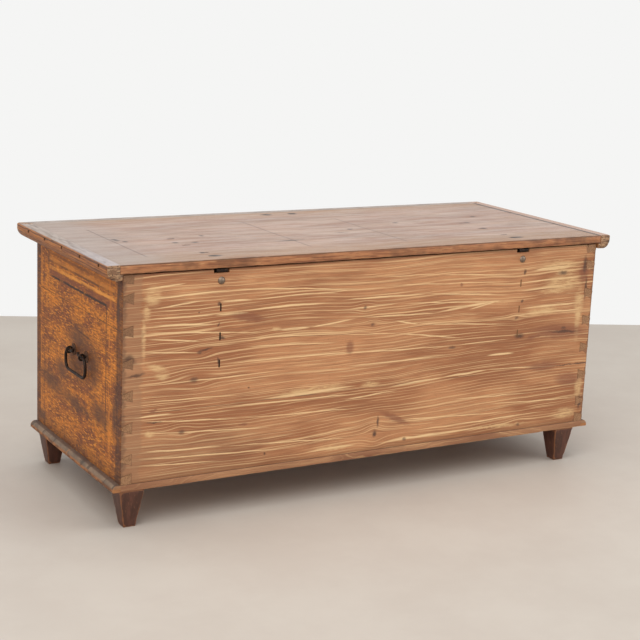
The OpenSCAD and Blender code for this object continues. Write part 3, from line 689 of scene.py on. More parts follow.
@dataclass(frozen=True)
class BackPine(BarePine):
    """The back's pine, with its streaks, stains, joints and worn patches."""

    streaks: tuple[Oval, ...] = ()
    pale_marks: tuple[Oval, ...] = ()
    dark_marks: tuple[Oval, ...] = ()
    red_marks: tuple[Oval, ...] = ()
    face: float = CHEST.back - CHEST.worn
    coat: GrainedPaint = GrainedPaint("combed_oil_paint")

    def colour(self, g: Graph, f: Field) -> tuple[Any, Any, Any]:
        """Back boards: bold pale streaks, worn and dirty ends, marks one by one, paint on the tails' ends.

        Args:
            g: The material's graph.
            f: The surface's coordinates.

        Returns:
            Colour, roughness and height in mm.
        """
        colour, relief = self.grained(g, f)
        warm = g.add("MapRange", f.x, -600.0, 600.0, 0.15, 0.0, interpolation_type="LINEAR")
        colour = lay(g, colour, "#A0622F", warm)
        shaded = g.add("Math:MULTIPLY", g.add("MapRange", f.z, 230.0, 160.0),
                       g.add("MapRange", f.x, 200.0, 420.0, 0.0, 0.4))
        colour = lay(g, colour, "#7A5036", shaded)
        smoky = g.add("Math:MULTIPLY", patches(g, f, (0.005, 0.014, 0.01), 37.0, (0.46, 0.6), 4.0, 0.6),
                      g.add("MapRange", f.x, -300.0, -470.0, 0.08, 0.1))
        colour = lay(g, colour, "#80563A", smoky)
        moved = shaken(g, f, 0.012, 3.0, 3.0)
        breaks = patches(g, f, (0.02, 0.5, 0.1), 9.0, (0.3, 0.6, 0.45, 0.95), 3.0, 0.6)
        colour = lay(g, colour, "#F5D09A", ovals(g, moved, self.streaks, self.face, 0.4), breaks)
        rough_place = shaken(g, f, 0.09, 4.0, 5.0)
        pale = ovals(g, rough_place, self.pale_marks, self.face, 0.8)
        torn = patches(g, f, (0.035, 0.3, 0.1), 29.0, (0.34, 0.58, 0.1, 0.85), 4.0, 0.7)
        colour = lay(g, colour, "#E4BC86", pale, torn)
        edge = g.add("Math:MULTIPLY_ADD", cloud(g, f, (0.01, 0.06, 0.01), 87.0, 4.0, 0.6), 36.0, f.x)
        colour = lay(g, colour, "#A27654", window(g, edge, CHEST.end - 26, CHEST.end + 80, 4.0), 0.55)
        tip = g.add("MapRange", g.add("Math:ABSOLUTE", edge), CHEST.end + 6, CHEST.end + 14, 0.0, 0.55)
        colour = lay(g, colour, "#6B4A34", tip)
        joint = g.add("Math:GREATER_THAN", g.add("Math:ABSOLUTE", f.x), CHEST.end - 30)
        colour = lay(g, colour, "#46301F", joint, worn_share(g, f, 0.42))
        for marks, soft, shade, share in ((self.red_marks, 0.7, "#7E4630", 0.6),
                                          (self.dark_marks, 0.8, "#4A3024", 0.8),
                                          (self.spots, 0.8, "#5E4030", 0.7)):
            colour = lay(g, colour, shade, ovals(g, rough_place, marks, self.face, soft), share)
        # Painted shade: the back darkens along its top edge, under the lid's overhang.
        colour = lay(g, colour, "#6A4630", g.add("MapRange", f.z, CHEST.top - 8, CHEST.top - 2, 0.0, 0.5))
        # Darker towards the bottom edge.
        low_darkening = g.add("MapRange", f.z, CHEST.floor + 17, CHEST.floor + 1, 0.0, 0.45)
        colour = lay(g, colour, "#8A5C3A", low_darkening)
        broken = patches(g, f, (0.01, 0.01, 0.01), 2.0, (0.4, 0.6, 0.1, 0.8))
        seam = window(g, f.z, CHEST.long_seam - 0.6, CHEST.long_seam + 0.6, 0.4)
        colour = lay(g, colour, "#54392A", seam, broken)
        paint, _ = self.coat.paint(g, board_field(g, Grain.END_UPRIGHT))
        colour = lay(g, colour, paint, self.coat.cover(g, f))
        return colour, self.roughness, relief


@dataclass(frozen=True)
class BottomPine(BarePine):
    """The bottom's pine: plain at the back's edge, grey with dirt on its nosed ends."""

    def colour(self, g: Graph, f: Field) -> tuple[Any, Any, Any]:
        """Bottom planks: nosings grey brown on top and orange brown below, dark bars across them.

        Args:
            g: The material's graph.
            f: The surface's coordinates.

        Returns:
            Colour, roughness and height in mm.
        """
        colour, relief = self.grained(g, f)
        out = g.add("MapRange", g.add("Math:ABSOLUTE", f.x), CHEST.end - 3.0, CHEST.end + 0.5)
        grime = lay(g, "#6E5C4C", "#8C735C", patches(g, f, (0.05, 0.02, 0.05), 5.0, (0.38, 0.62), 5.0, 0.65))
        bars = patches(g, f, (0.005, 0.05, 0.005), 15.0, (0.6, 0.63), 2.0, 0.7)
        grime = lay(g, grime, "#352A22", bars, 0.6)
        edge = lay(g, "#A46A3C", "#6E4426", patches(g, f, (0.02, 0.05, 0.1), 25.0, (0.42, 0.62), 4.0))
        grime = lay(g, grime, edge, g.add("MapRange", f.z, CHEST.floor - 5.5, CHEST.floor - 10.0))
        colour = lay(g, colour, grime, out)
        colour = lay(g, colour, "#C08350", worn_share(g, f, 0.45), out)
        # Darker on its top face, where the case stands on it.
        top_face_darkening = g.add("MapRange", f.z, CHEST.floor - 1.8, CHEST.floor - 0.4, 0.0, 0.7)
        colour = lay(g, colour, "#50362A", top_face_darkening)
        return colour, self.roughness, relief


@dataclass(frozen=True)
class Scratch:
    """A dark line across the lid: its X, its ends in Y, half its width in mm, and how strong it is."""

    at: float
    low: float
    high: float
    half: float
    share: float


@dataclass(frozen=True)
class LidPine(BarePine):
    """The lid's pine, waxed and handled: greyish brown under a soft sheen."""

    dark_marks: tuple[Oval, ...] = ()
    scribed: tuple[Scratch, ...] = ()

    def colour(self, g: Graph, f: Field) -> tuple[Any, Any, Any]:
        """Lid planks: quiet grain, scribed lines across, dark marks, orange brown worn edges.

        Args:
            g: The material's graph.
            f: The surface's coordinates.

        Returns:
            Colour, roughness and height in mm.
        """
        colour, relief = self.grained(g, f)
        pink = patches(g, f, (0.005, 0.03, 0.01), 33.0, (0.4, 0.6), 3.0)
        colour = lay(g, colour, "#94604A", pink, 0.3)
        haze = patches(g, f, (0.008, 0.2, 0.3), 93.0, (0.5, 0.62), 4.0, 0.65)
        colour = lay(g, colour, "#C6B8B2", haze, 0.4)
        pores = patches(g, f, (0.03, 0.5, 0.3), 73.0, (0.54, 0.66), 4.0, 0.7)
        colour = lay(g, colour, "#54392C", pores, 0.5)
        winding = g.add("Math:MULTIPLY_ADD", cloud(g, f, (0.003, 0.01, 0.01), 83.0), 16.0, f.across)
        cracks = growth_lines(g, f, winding, pitch=19.0, seed=21.0, wide=0.12, run=160.0, fill=0.5)
        colour = lay(g, colour, "#4A3227", cracks, 0.6)
        top = g.add("MapRange", f.z, CHEST.lid_top - 5.4, CHEST.lid_top - 2.4)
        margin = g.add("MapRange", g.add("Math:ABSOLUTE", f.y), 150.0, 245.0, 0.0, 0.5)
        colour = lay(g, colour, "#9A7450", top, margin)
        # Painted reflection: the top turns a paler grey toward the +X end.
        colour = lay(g, colour, "#998C84", top, g.add("MapRange", f.x, 440.0, 600.0, 0.0, 0.6))
        for cut in self.scribed:
            # The noise moves a line by 2 mm on average, which its middle makes good.
            wander = g.add("Math:MULTIPLY_ADD", cloud(g, f, (0.01, 0.01, 0.01), cut.at, 1.0), 4.0, f.x)
            middle = cut.at + 2.0
            wide = window(g, wander, middle - cut.half, middle + cut.half, 0.6)
            colour = lay(g, colour, "#3E2A20", wide, window(g, f.y, cut.low, cut.high, 12.0), top, cut.share)
        dark = ovals(g, shaken(g, f, 0.09, 3.0, 5.0), self.dark_marks, CHEST.lid_top - CHEST.worn, 0.6)
        colour = lay(g, colour, "#2C1E18", dark, 0.9)
        edge = lay(g, "#B87C52", "#8C583A", patches(g, f, (0.02, 0.1, 0.3), 44.0, (0.42, 0.64), 4.0, 0.65))
        edge = lay(g, edge, "#C89A6A", patches(g, f, (0.03, 0.1, 0.4), 54.0, (0.6, 0.68, 0.0, 0.6), 3.0))
        for start, end, shade, share in ((CHEST.lid_top - 3.8, CHEST.lid_top - 1.8, "#463024", 0.65),
                                         (CHEST.lid_low + 2.0, CHEST.lid_low + 0.6, "#5E3F2A", 0.6)):
            edge = lay(g, edge, shade, g.add("MapRange", f.z, start, end, 0.0, share))
        outside = g.add("MapRange", f.y, CHEST.lid_back - 2.0, CHEST.lid_back - 0.8)
        below = g.add("MapRange", f.z, CHEST.lid_top - 0.1, CHEST.lid_top - 1.0)
        colour = lay(g, colour, edge, outside, below)
        handled = patches(g, f, (0.02, 0.05, 0.02), 64.0, (0.45, 0.7, 0.0, 0.5), 3.0)
        near_edge = g.add("MapRange", f.y, CHEST.lid_back - 13.0, CHEST.lid_back - 2.0)
        colour = lay(g, colour, "#5A3C2A", near_edge, handled)
        rough = g.add("MapRange", cloud(g, f, (0.01, 0.05, 0.02), 8.0, 3.0), 0.3, 0.7,
                      self.roughness - 0.08, self.roughness + 0.1, interpolation_type="LINEAR")
        return colour, rough, relief


@dataclass(frozen=True)
class MouldPaint(Finish):
    """The mouldings' old paint: streaky orange brown, rubbed off on the arris, greyed by wax on top, and
    paled toward the back by a painted reflection.
    """

    def colour(self, g: Graph, f: Field) -> tuple[Any, Any, Any]:
        """Mouldings: streaks along the face, lid colour on top, wormy end grain at the back.

        Args:
            g: The material's graph.
            f: The surface's coordinates.

        Returns:
            Colour, roughness and height in mm.
        """
        streak = patches(g, f, (0.008, 0.1, 0.32), 3.0, (0.4, 0.6), 4.0, 0.66)
        colour = lay(g, "#784423", "#B06C34", streak)
        glow = patches(g, f, (0.012, 0.12, 0.45), 13.0, (0.54, 0.64), 3.0, 0.66)
        colour = lay(g, colour, "#D88C3E", glow, 0.75)
        ragged = g.add("Math:MULTIPLY_ADD", cloud(g, f, (0.03, 0.03, 0.03), 9.0, 3.0), 5.0, f.z)
        # Dark lines near the arris, on the face and on the lower round, by their depth under the top.
        for far_down, near_top, share in ((4.2, 1.8, 0.75), (17.0, 15.4, 0.6), (26.4, 24.8, 0.7)):
            line = window(g, ragged, CHEST.lid_top - far_down, CHEST.lid_top - near_top, 0.7)
            colour = lay(g, colour, "#3C2416", line, share)
        under = g.add("MapRange", ragged, CHEST.lid_top - 28.4, CHEST.lid_top - 30.0, 0.0, 0.75)
        colour = lay(g, colour, "#A08468", under)
        bruise = patches(g, f, (0.012, 0.05, 0.05), 19.0, (0.54, 0.62), 4.0, 0.66)
        upper = g.add("MapRange", f.z, CHEST.lid_top - 16.4, CHEST.lid_top - 5.4, 0.0, 0.7)
        colour = lay(g, colour, "#43301F", bruise, upper)
        top = lay(g, "#8A7A70", "#A8998F", patches(g, f, (0.02, 0.1, 0.02), 6.0, (0.4, 0.6), 3.0))
        # Painted reflection: the top pales to a bluish grey toward the back.
        top = lay(g, top, "#B3ABAE", g.add("MapRange", f.y, -60.0, 240.0, 0.0, 0.5))
        top = lay(g, top, "#5A4236", patches(g, f, (0.04, 0.12, 0.05), 16.0, (0.6, 0.7, 0.0, 0.5), 4.0))
        far = g.add("MapRange", f.x, -600.0, -640.0)
        top = lay(g, top, "#B0907E", far)
        colour = lay(g, colour, top, g.add("MapRange", f.z, CHEST.lid_top - 2.6, CHEST.lid_top - 0.6))
        bare = lay(g, "#B98656", "#74503A", patches(g, f, (0.05, 0.05, 0.05), 26.0, (0.4, 0.62), 4.0))
        kept = g.add("MapRange", far, 0.0, 1.0, 1.0, 0.35, interpolation_type="LINEAR")
        colour = lay(g, colour, bare, worn_share(g, f, 0.8), kept)
        end = lay(g, "#B08A66", "#7A563C", patches(g, f, (0.16, 0.05, 0.16), 36.0, (0.42, 0.6), 4.0, 0.7))
        holes = g.add("TexVoronoi", {"Vector": f.place, "Scale": 0.2, "Randomness": 1.0})
        end = lay(g, end, "#2A1A12", g.add("MapRange", holes, 0.26, 0.2))
        cracks = patches(g, f, (0.03, 0.05, 0.45), 46.0, (0.57, 0.62), 3.0, 0.6)
        end = lay(g, end, "#2C1A12", cracks)
        colour = lay(g, colour, end, g.add("MapRange", f.y, CHEST.lid_back - 1.6, CHEST.lid_back - 0.6))
        return colour, self.roughness, g.add("Math:MULTIPLY", streak, 0.2)


@dataclass(frozen=True)
class DarkStain(Finish):
    """Hard wood under dark brown oil stain: close, satin, worn to orange on the arrises."""

    roughness: float = 0.5

    def colour(self, g: Graph, f: Field) -> tuple[Any, Any, Any]:
        """Dark ground with lighter scuffs along the grain and rubbed arrises.

        Args:
            g: The material's graph.
            f: The surface's coordinates.

        Returns:
            Colour, roughness and height in mm.
        """
        tone = patches(g, f, (0.012, 0.09, 0.09), 4.0, (0.35, 0.68), 5.0, 0.66)
        colour = lay(g, "#46271A", "#613829", tone)
        scuff = patches(g, f, (0.09, 0.2, 0.2), 14.0, (0.56, 0.68), 5.0, 0.75)
        colour = lay(g, colour, "#8A5A40", scuff, 0.5)
        colour = lay(g, colour, "#A0673E", worn_share(g, f, 0.5))
        return colour, self.roughness, g.add("Math:MULTIPLY", tone, 0.1)


@dataclass(frozen=True)
class ForgedIron(Finish):
    """Hand-forged wrought iron: fire scale, black and slightly pitted, brown where it rusts."""

    roughness: float = 0.5
    ior: float = 1.5
    metallic: float = 0.75
    scale_colour: str = "#2A211C"
    rust: str = "#5A3A28"

    def colour(self, g: Graph, f: Field) -> tuple[Any, Any, Any]:
        """Scale with patches of rust and fine hammer marks.

        Args:
            g: The material's graph.
            f: The surface's coordinates.

        Returns:
            Colour, roughness and height in mm.
        """
        tone = cloud(g, f, (0.2, 0.2, 0.2), 2.0, 4.0, 0.6)
        share = g.add("MapRange", tone, 0.5, 0.72, 0.0, 0.7, interpolation_type="LINEAR")
        dents = cloud(g, f, (0.35, 0.35, 0.35), 6.0, 2.0)
        return lay(g, self.scale_colour, self.rust, share), self.roughness, g.add("Math:MULTIPLY", dents, 0.5)


@dataclass(frozen=True)
class Wear:
    """How the edges of a wooden piece are eased and chipped, in mm."""

    ease: float = 0.6
    chip: float = 0.6
    grit: float = 14.0
    step: float = 24.0
    seed: float = 0.0


def standing(points: Sequence[tuple[float, float]], y: float) -> list[Vector]:
    """Stands an outline up along the chest: its points in X and Z, all at one Y, in mm."""
    return [Vector((x, y, z)) for x, z in points]


def arc(middle: tuple[float, float], radius: float, start: float, end: float,
        steps: int) -> list[tuple[float, float]]:
    """Points along an arc.

    Args:
        middle: Its middle.
        radius: Its radius.
        start: Angle of its first point, in degrees.
        end: Angle of its last point.
        steps: Number of equal steps between them.

    Returns:
        The points, one more than the steps.
    """
    turns = (math.radians(start + (end - start) * k / steps) for k in range(steps + 1))
    return [(middle[0] + radius * math.cos(a), middle[1] + radius * math.sin(a)) for a in turns]


def carve(name: str, low: Sequence[Vector], high: Sequence[Vector], wear: Wear,
          keep: Callable[[Vector], bool] = lambda spot: False) -> bpy.types.Object:
    """Makes a worn wooden piece between two outlines.

    Args:
        name: The piece's name.
        low: First outline in mm.
        high: Second outline in mm, point for point.
        wear: How its edges are worn.
        keep: True for the middle of an edge, in mm, that stays sharp.

    Returns:
        The object, with its place in its mesh.
    """
    bm = bmesh.new()
    first = [bm.verts.new(p * MM) for p in low]
    last = [bm.verts.new(p * MM) for p in high]
    bm.faces.new(first)
    bm.faces.new(last)
    for i in range(len(first)):
        bm.faces.new((first[i], first[i - 1], last[i - 1], last[i]))
    for axis in range(3):
        corners = sorted({round(v.co[axis] / MM, 3) for v in bm.verts})
        for a, b in pairwise(corners):
            cuts = int((b - a) / wear.step)
            for k in range(cuts):
                spot, way = Vector((0, 0, 0)), Vector((0, 0, 0))
                spot[axis], way[axis] = (a + (b - a) * (k + 1) / (cuts + 1)) * MM, 1.0
                bmesh.ops.bisect_plane(bm, geom=bm.verts[:] + bm.edges[:] + bm.faces[:], dist=WELD,
                                       plane_co=spot, plane_no=way)
    bmesh.ops.recalc_face_normals(bm, faces=bm.faces[:])
    sharp = [e for e in bm.edges if len(e.link_faces) == 2 and e.calc_face_angle(0.0) > EASED
             and not keep((e.verts[0].co + e.verts[1].co) / 2 / MM)]
    made = bmesh.ops.bevel(bm, geom=sharp, offset=wear.ease * MM, offset_type="OFFSET", segments=2,
                           profile=0.5, affect="EDGES", clamp_overlap=False)
    bm.normal_update()
    worn = bm.verts.layers.float.new("worn")
    for v in {v for f in made["faces"] for v in f.verts}:
        v[worn] = 1.0
        rough = noise.noise(v.co / MM / wear.grit + Vector((wear.seed, 0, 0)))
        v.co -= v.normal * max(0.0, rough) * wear.chip * MM
    return finished(name, bm)


def finished(name: str, bm: bmesh.types.BMesh) -> bpy.types.Object:
    """Turns a bmesh into an object with smooth curves and sharp edges.

    Args:
        name: The piece's name.
        bm: Its mesh, which is freed.

    Returns:
        The object.
    """
    mesh = bpy.data.meshes.new(name)
    bm.to_mesh(mesh)
    bm.free()
    mesh.shade_smooth()
    mesh.set_sharp_from_angle(angle=SHARP)
    piece = bpy.data.objects.new(name, mesh)
    bpy.context.scene.collection.objects.link(piece)
    return piece


def stand_for(piece: bpy.types.Object, node: str, body: str, material: bpy.types.Material) -> None:
    """Dresses a piece that stands for a solid, and lets it ride on the solid's body.

    Args:
        piece: The piece.
        node: The solid's name.
        body: The body that carries it.
        material: The piece's material.
    """
    piece.data.materials.clear()
    piece.data.materials.append(material)
    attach(piece, body)
    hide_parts(node)
    LOG.info("%s stands for %s on %s, %d faces", piece.name, node, body, len(piece.data.polygons))


def dress(node: str, material: bpy.types.Material) -> None:
    """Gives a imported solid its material.

    Args:
        node: The solid's name.
        material: Its material.
    """
    mesh = frame["nodes"][node].data
    mesh.materials.clear()
    mesh.materials.append(material)
    LOG.info("%s keeps its solid, in %s", node, material.name)


# Marks of the back, placed one by one where the photograph shows them, as Oval takes them: along X, up Z.
KNOTS = tuple(Oval(*m) for m in (
    (444, 372, 9, 6), (36, 439, 7, 6), (14, 398, 7, 6), (-208, 324, 16, 5), (-5, 140, 8, 13),
    (-88, 116, 9, 6), (-420, 113, 8, 6), (-391, 382, 8, 6), (456, 313, 14, 9), (-539, 345, 12, 6),
    (481, 201, 10, 8)))
# Pale patches where the wood is rubbed or torn.
BURSTS = tuple(Oval(*m) for m in (
    (14, 259, 34, 10), (262, 408, 16, 7), (529, 329, 22, 12), (572, 414, 7, 62), (552, 500, 26, 30, 10),
    (566, 466, 12, 26), (540, 346, 34, 10, 20), (-515, 503, 80, 17, 3), (-530, 485, 50, 14),
    (-500, 440, 60, 8), (-580, 405, 20, 46), (-600, 193, 16, 40), (167, 262, 120, 9, -3),
    (109, 119, 70, 7), (-360, 117, 120, 6, 2), (-580, 380, 12, 90), (555, 205, 16, 9),
    (-562, 126, 52, 20), (-525, 458, 76, 32), (-470, 392, 64, 14)))
# Nail points, clench marks, scratches and dirt.
DIRT = tuple(Oval(*m) for m in (
    (401, 474, 5, 6), (400, 429, 3, 6, 20), (392, 400, 12, 6, 20), (448, 459, 3, 3), (324, 283, 3.5, 3.5),
    (281, 128, 4, 5), (546, 230, 26, 3), (-405, 422, 6, 7), (-407, 492, 5, 9), (-404, 337, 20, 9),
    (400, 350, 4, 12), (-13, 168, 5, 18), (-5, 138, 6, 10), (430, 378, 22, 4, -10), (-523, 483, 20, 8),
    (604, 370, 22, 16, 30), (590, 335, 30, 5, -8), (-600, 251, 44, 3), (-560, 251, 60, 2),
    (-541, 336, 60, 5, 4), (-590, 500, 8, 30), (-598, 440, 6, 40), (200, 98, 12, 6), (-607, 150, 8, 26)))
# Reddish stains.
REDS = tuple(Oval(*m) for m in (
    (548, 256, 14, 4), (335, 202, 16, 4), (-530, 338, 120, 26, 3), (-540, 340, 50, 16, 5),
    (-452, 331, 40, 8, -8), (-567, 214, 60, 26, 4), (-482, 254, 70, 16), (-588, 478, 20, 34),
    (72, 350, 16, 22), (-224, 473, 6, 6), (330, 440, 60, 14, 12), (-60, 170, 60, 10, 25)))
# Pale streaks, each read off an enlarged crop of the photograph: both ends, then half the width in mm.
STREAKS = (
    *Crop(left=115, top=255).streaks(
        (120, 160, 320, 125, 2.2), (140, 205, 520, 155, 2.0), (520, 155, 1080, 150, 1.6),
        (470, 207, 620, 200, 2.5), (620, 200, 1080, 152, 1.6), (180, 245, 400, 205, 1.8),
        (165, 290, 450, 272, 1.6), (450, 272, 600, 258, 2.4), (600, 245, 960, 212, 2.6),
        (180, 320, 450, 312, 2.6), (740, 340, 880, 325, 3.0), (880, 325, 1080, 285, 2.2),
        (140, 350, 660, 346, 1.8), (150, 378, 390, 388, 1.8), (560, 376, 1080, 352, 1.4),
        (590, 412, 1000, 395, 1.5), (130, 440, 390, 438, 1.6), (500, 487, 1080, 432, 1.7),
        (100, 595, 740, 520, 1.5), (100, 665, 560, 628, 1.4), (480, 682, 1080, 625, 2.0),
        (680, 645, 1080, 588, 4.0), (80, 738, 260, 712, 2.2), (110, 752, 560, 735, 1.8),
        (560, 735, 1080, 690, 1.4), (110, 805, 700, 775, 1.6), (120, 890, 480, 862, 2.2),
        (480, 862, 1080, 820, 1.4), (110, 922, 760, 870, 1.8), (120, 950, 470, 925, 1.5),
        (860, 885, 1080, 850, 3.0)),
    *Crop(left=345, top=235).streaks(
        (0, 290, 370, 262, 2.2), (370, 262, 740, 266, 1.6), (0, 335, 240, 308, 1.8),
        (90, 368, 420, 350, 2.2), (400, 350, 700, 290, 3.2), (250, 305, 800, 297, 1.5),
        (170, 190, 440, 175, 1.3), (440, 178, 760, 180, 1.4), (170, 228, 760, 208, 1.2),
        (780, 215, 1080, 185, 1.6), (850, 160, 1030, 140, 5.0), (230, 385, 330, 400, 2.2),
        (330, 400, 740, 400, 1.5), (0, 447, 240, 440, 1.2), (240, 440, 520, 463, 1.8),
        (0, 532, 480, 500, 1.6), (480, 500, 740, 468, 1.4), (0, 590, 440, 545, 1.4),
        (200, 682, 440, 640, 2.6), (440, 640, 640, 604, 3.0), (640, 604, 960, 588, 1.6),
        (0, 740, 230, 700, 2.0), (480, 742, 820, 710, 1.4), (100, 842, 760, 790, 1.4),
        (300, 880, 900, 790, 2.0), (150, 935, 620, 862, 3.0), (640, 760, 1050, 730, 1.3),
        (760, 362, 1080, 330, 2.0), (790, 250, 1010, 225, 2.0), (560, 335, 700, 292, 2.0),
        (800, 330, 1060, 300, 3.0), (640, 540, 760, 530, 3.0)))
# Dents, nail heads and clench marks on the lid, along X and Y. The photograph sees the lid at a flat angle,
# so all but the last are drawn wider, and much deeper along the line of sight, than they were read.
LID_WIDER, LID_DEEPER = 1.15, 2.1
LID_MARKS = (*(Oval(x, y, wide * LID_WIDER, deep * LID_DEEPER) for x, y, wide, deep in (
    (529, 1, 9, 4), (528, 14, 8, 4), (516, 31, 7, 4), (415, 73, 9, 4), (370, 80, 10, 4), (321, 9, 7, 4),
    (410, 198, 7, 4), (398, 237, 18, 6), (31, -218, 15, 7), (-39, -216, 15, 7), (-62, 27, 9, 4),
    (-224, -25, 10, 4), (-479, -51, 10, 4), (-406, 25, 10, 4), (-398, 107, 10, 5), (-397, 237, 24, 6),
    (150, 120, 40, 3))), Oval(-20, 60, 30, 3))
# Lines scribed or scratched right across the lid, and the dark joints of its end mouldings.
SCRIBED = (Scratch(541.0, -136.0, 205.0, 1.5, 0.7), Scratch(144.0, -136.0, 200.0, 1.5, 0.75),
           Scratch(-107.0, -120.0, 205.0, 1.5, 0.75), Scratch(-623.0, -250.0, 290.0, 5.5, 0.95),
           Scratch(624.0, -250.0, 290.0, 1.5, 0.15))
# Bands along the top of a face, by their height, and strips beside the frame, by Y. The grainer drew most of
# them; the bright line at 489 is a painted highlight where light catches a scratched groove, and the dark
# line at 519 is painted shadow under the lid's moulding.
BANDS = (Band(515.0, 18.0, "#D8801F", 0.5), Band(477.0, 6.5, "#7A3F26", 0.75),
         Band(489.0, 3.6, "#F0A044", 0.9), Band(501.0, 2.4, "#4E2C1A", 0.75),
         Band(508.0, 3.6, "#D68A38", 0.6), Band(519.0, 3.0, "#5A321E", 0.55))
STRIPS = (Band(-207.0, 5.0, "#D4822E", 0.6), Band(-190.0, 4.0, "#6A3C20", 0.6),
          Band(-172.0, 3.0, "#D4822E", 0.5), Band(207.0, 10.0, "#DE862C", 0.5))
# Darker patches on the painted end, along Y and up Z: three round the handle, then those on the rest of it.
STAINS = tuple(Oval(*m) for m in (
    (36, 352, 110, 66, -6), (110, 322, 66, 80, 10), (20, 300, 90, 50), (-140, 222, 130, 42, -4),
    (10, 208, 140, 24, -4), (-80, 266, 62, 36), (150, 222, 80, 44, -8), (236, 240, 24, 90),
    (246, 480, 14, 70), (-205, 124, 50, 22), (-222, 280, 20, 46)))

# Linseed oil paint on planed pine, a pale ground combed with a dark glaze: satin, warm, streaks 4 to 8 mm
# high and a few centimetres long, as wide as a grainer's comb leaves them, gone dull and blotched where
# hands and damp reached.
END_PAINT = GrainedPaint("combed_oil_paint", level=BANDS, upright=STRIPS, stains=STAINS,
                         ticks=(Oval(-161, 502, 5, 22), Oval(60, 376, 60, 3, -4)))
# The same paint on the front, which the photo doesn't show: its frame is as wide as the board lets it be,
# and it is darkest round the keyhole.
FRONT_PAINT = GrainedPaint("combed_oil_paint_front", low=-CHEST.end, high=CHEST.end,
                           frame=(-540.0, 540.0, 150.0, 468.0), seam=CHEST.long_seam, level=BANDS,
                           stains=(Oval(0, 510, 55, 50),))
# Linseed oil paint on a planed moulding, waxed with the lid: brush streaks 3 mm high, dark lines along it,
# rubbed to the pine on the arris.
MOULD = MouldPaint("rubbed_oil_paint", roughness=0.5, ior=1.48)
# Planed pine that was scrubbed and never painted: nearly matt, soft early wood bleached to pale streaks
# 3 to 5 mm high between the rings of a board cut near the bark, 15 mm apart, and fibres of 1 mm drawn as
# coarse as they show.
BACK = BackPine("scrubbed_planed_pine", roughness=0.66, light="#D39464", dark="#A86941", line="#F3CA94",
                spots=KNOTS, streaks=STREAKS, pale_marks=BURSTS, dark_marks=DIRT, red_marks=REDS,
                coat=END_PAINT)
# Planed pine near the floor, rings 6 mm apart: matt, with grey dirt rubbed into its nosed ends.
BOTTOM = BottomPine("grimy_planed_pine", roughness=0.68, light="#B4815A", dark="#946344", seed=6.0, lines=0.6,
                    pitch=6.0)
# Planed pine under beeswax: greyish brown and quiet, rings 22 mm apart, with a soft sheen from its roughness
# and a painted reflection that greys its top toward the +X end.
LID = LidPine("waxed_planed_pine", roughness=0.4, ior=1.45, light="#BA9B87", dark="#9D7D69", line="#D2B59E",
              shade="#5C4336", lines=0.45, seed=2.0, pitch=22.0, dark_marks=LID_MARKS, scribed=SCRIBED)
# Sawn hardwood under oil stain: dark red brown, satin, with scuffs 5 mm high that show its orange wood.
STAIN = DarkStain("oil_stained_hardwood", ior=1.5)
# Wrought iron from the forge: black scale that shines a little on hammer marks about 3 mm wide, brown in
# patches.
IRON = ForgedIron("forged_wrought_iron")
# The same, thin and long damp: brown rust all over, matt.
RUSTED = ForgedIron("rusted_wrought_iron", roughness=0.75, metallic=0.5, scale_colour="#5C4030",
                    rust="#835634")
# Nail ends and brads gone the colour of the wood round them: matt brown.
GRIMED = ForgedIron("grimed_wrought_iron", roughness=0.75, metallic=0.5, scale_colour="#86603F",
                    rust="#6A4832")
# Domed ends that hands have rubbed bright: grey metal with a broad shine.
RUBBED = ForgedIron("rubbed_wrought_iron", roughness=0.38, scale_colour="#857465", rust="#54443A")


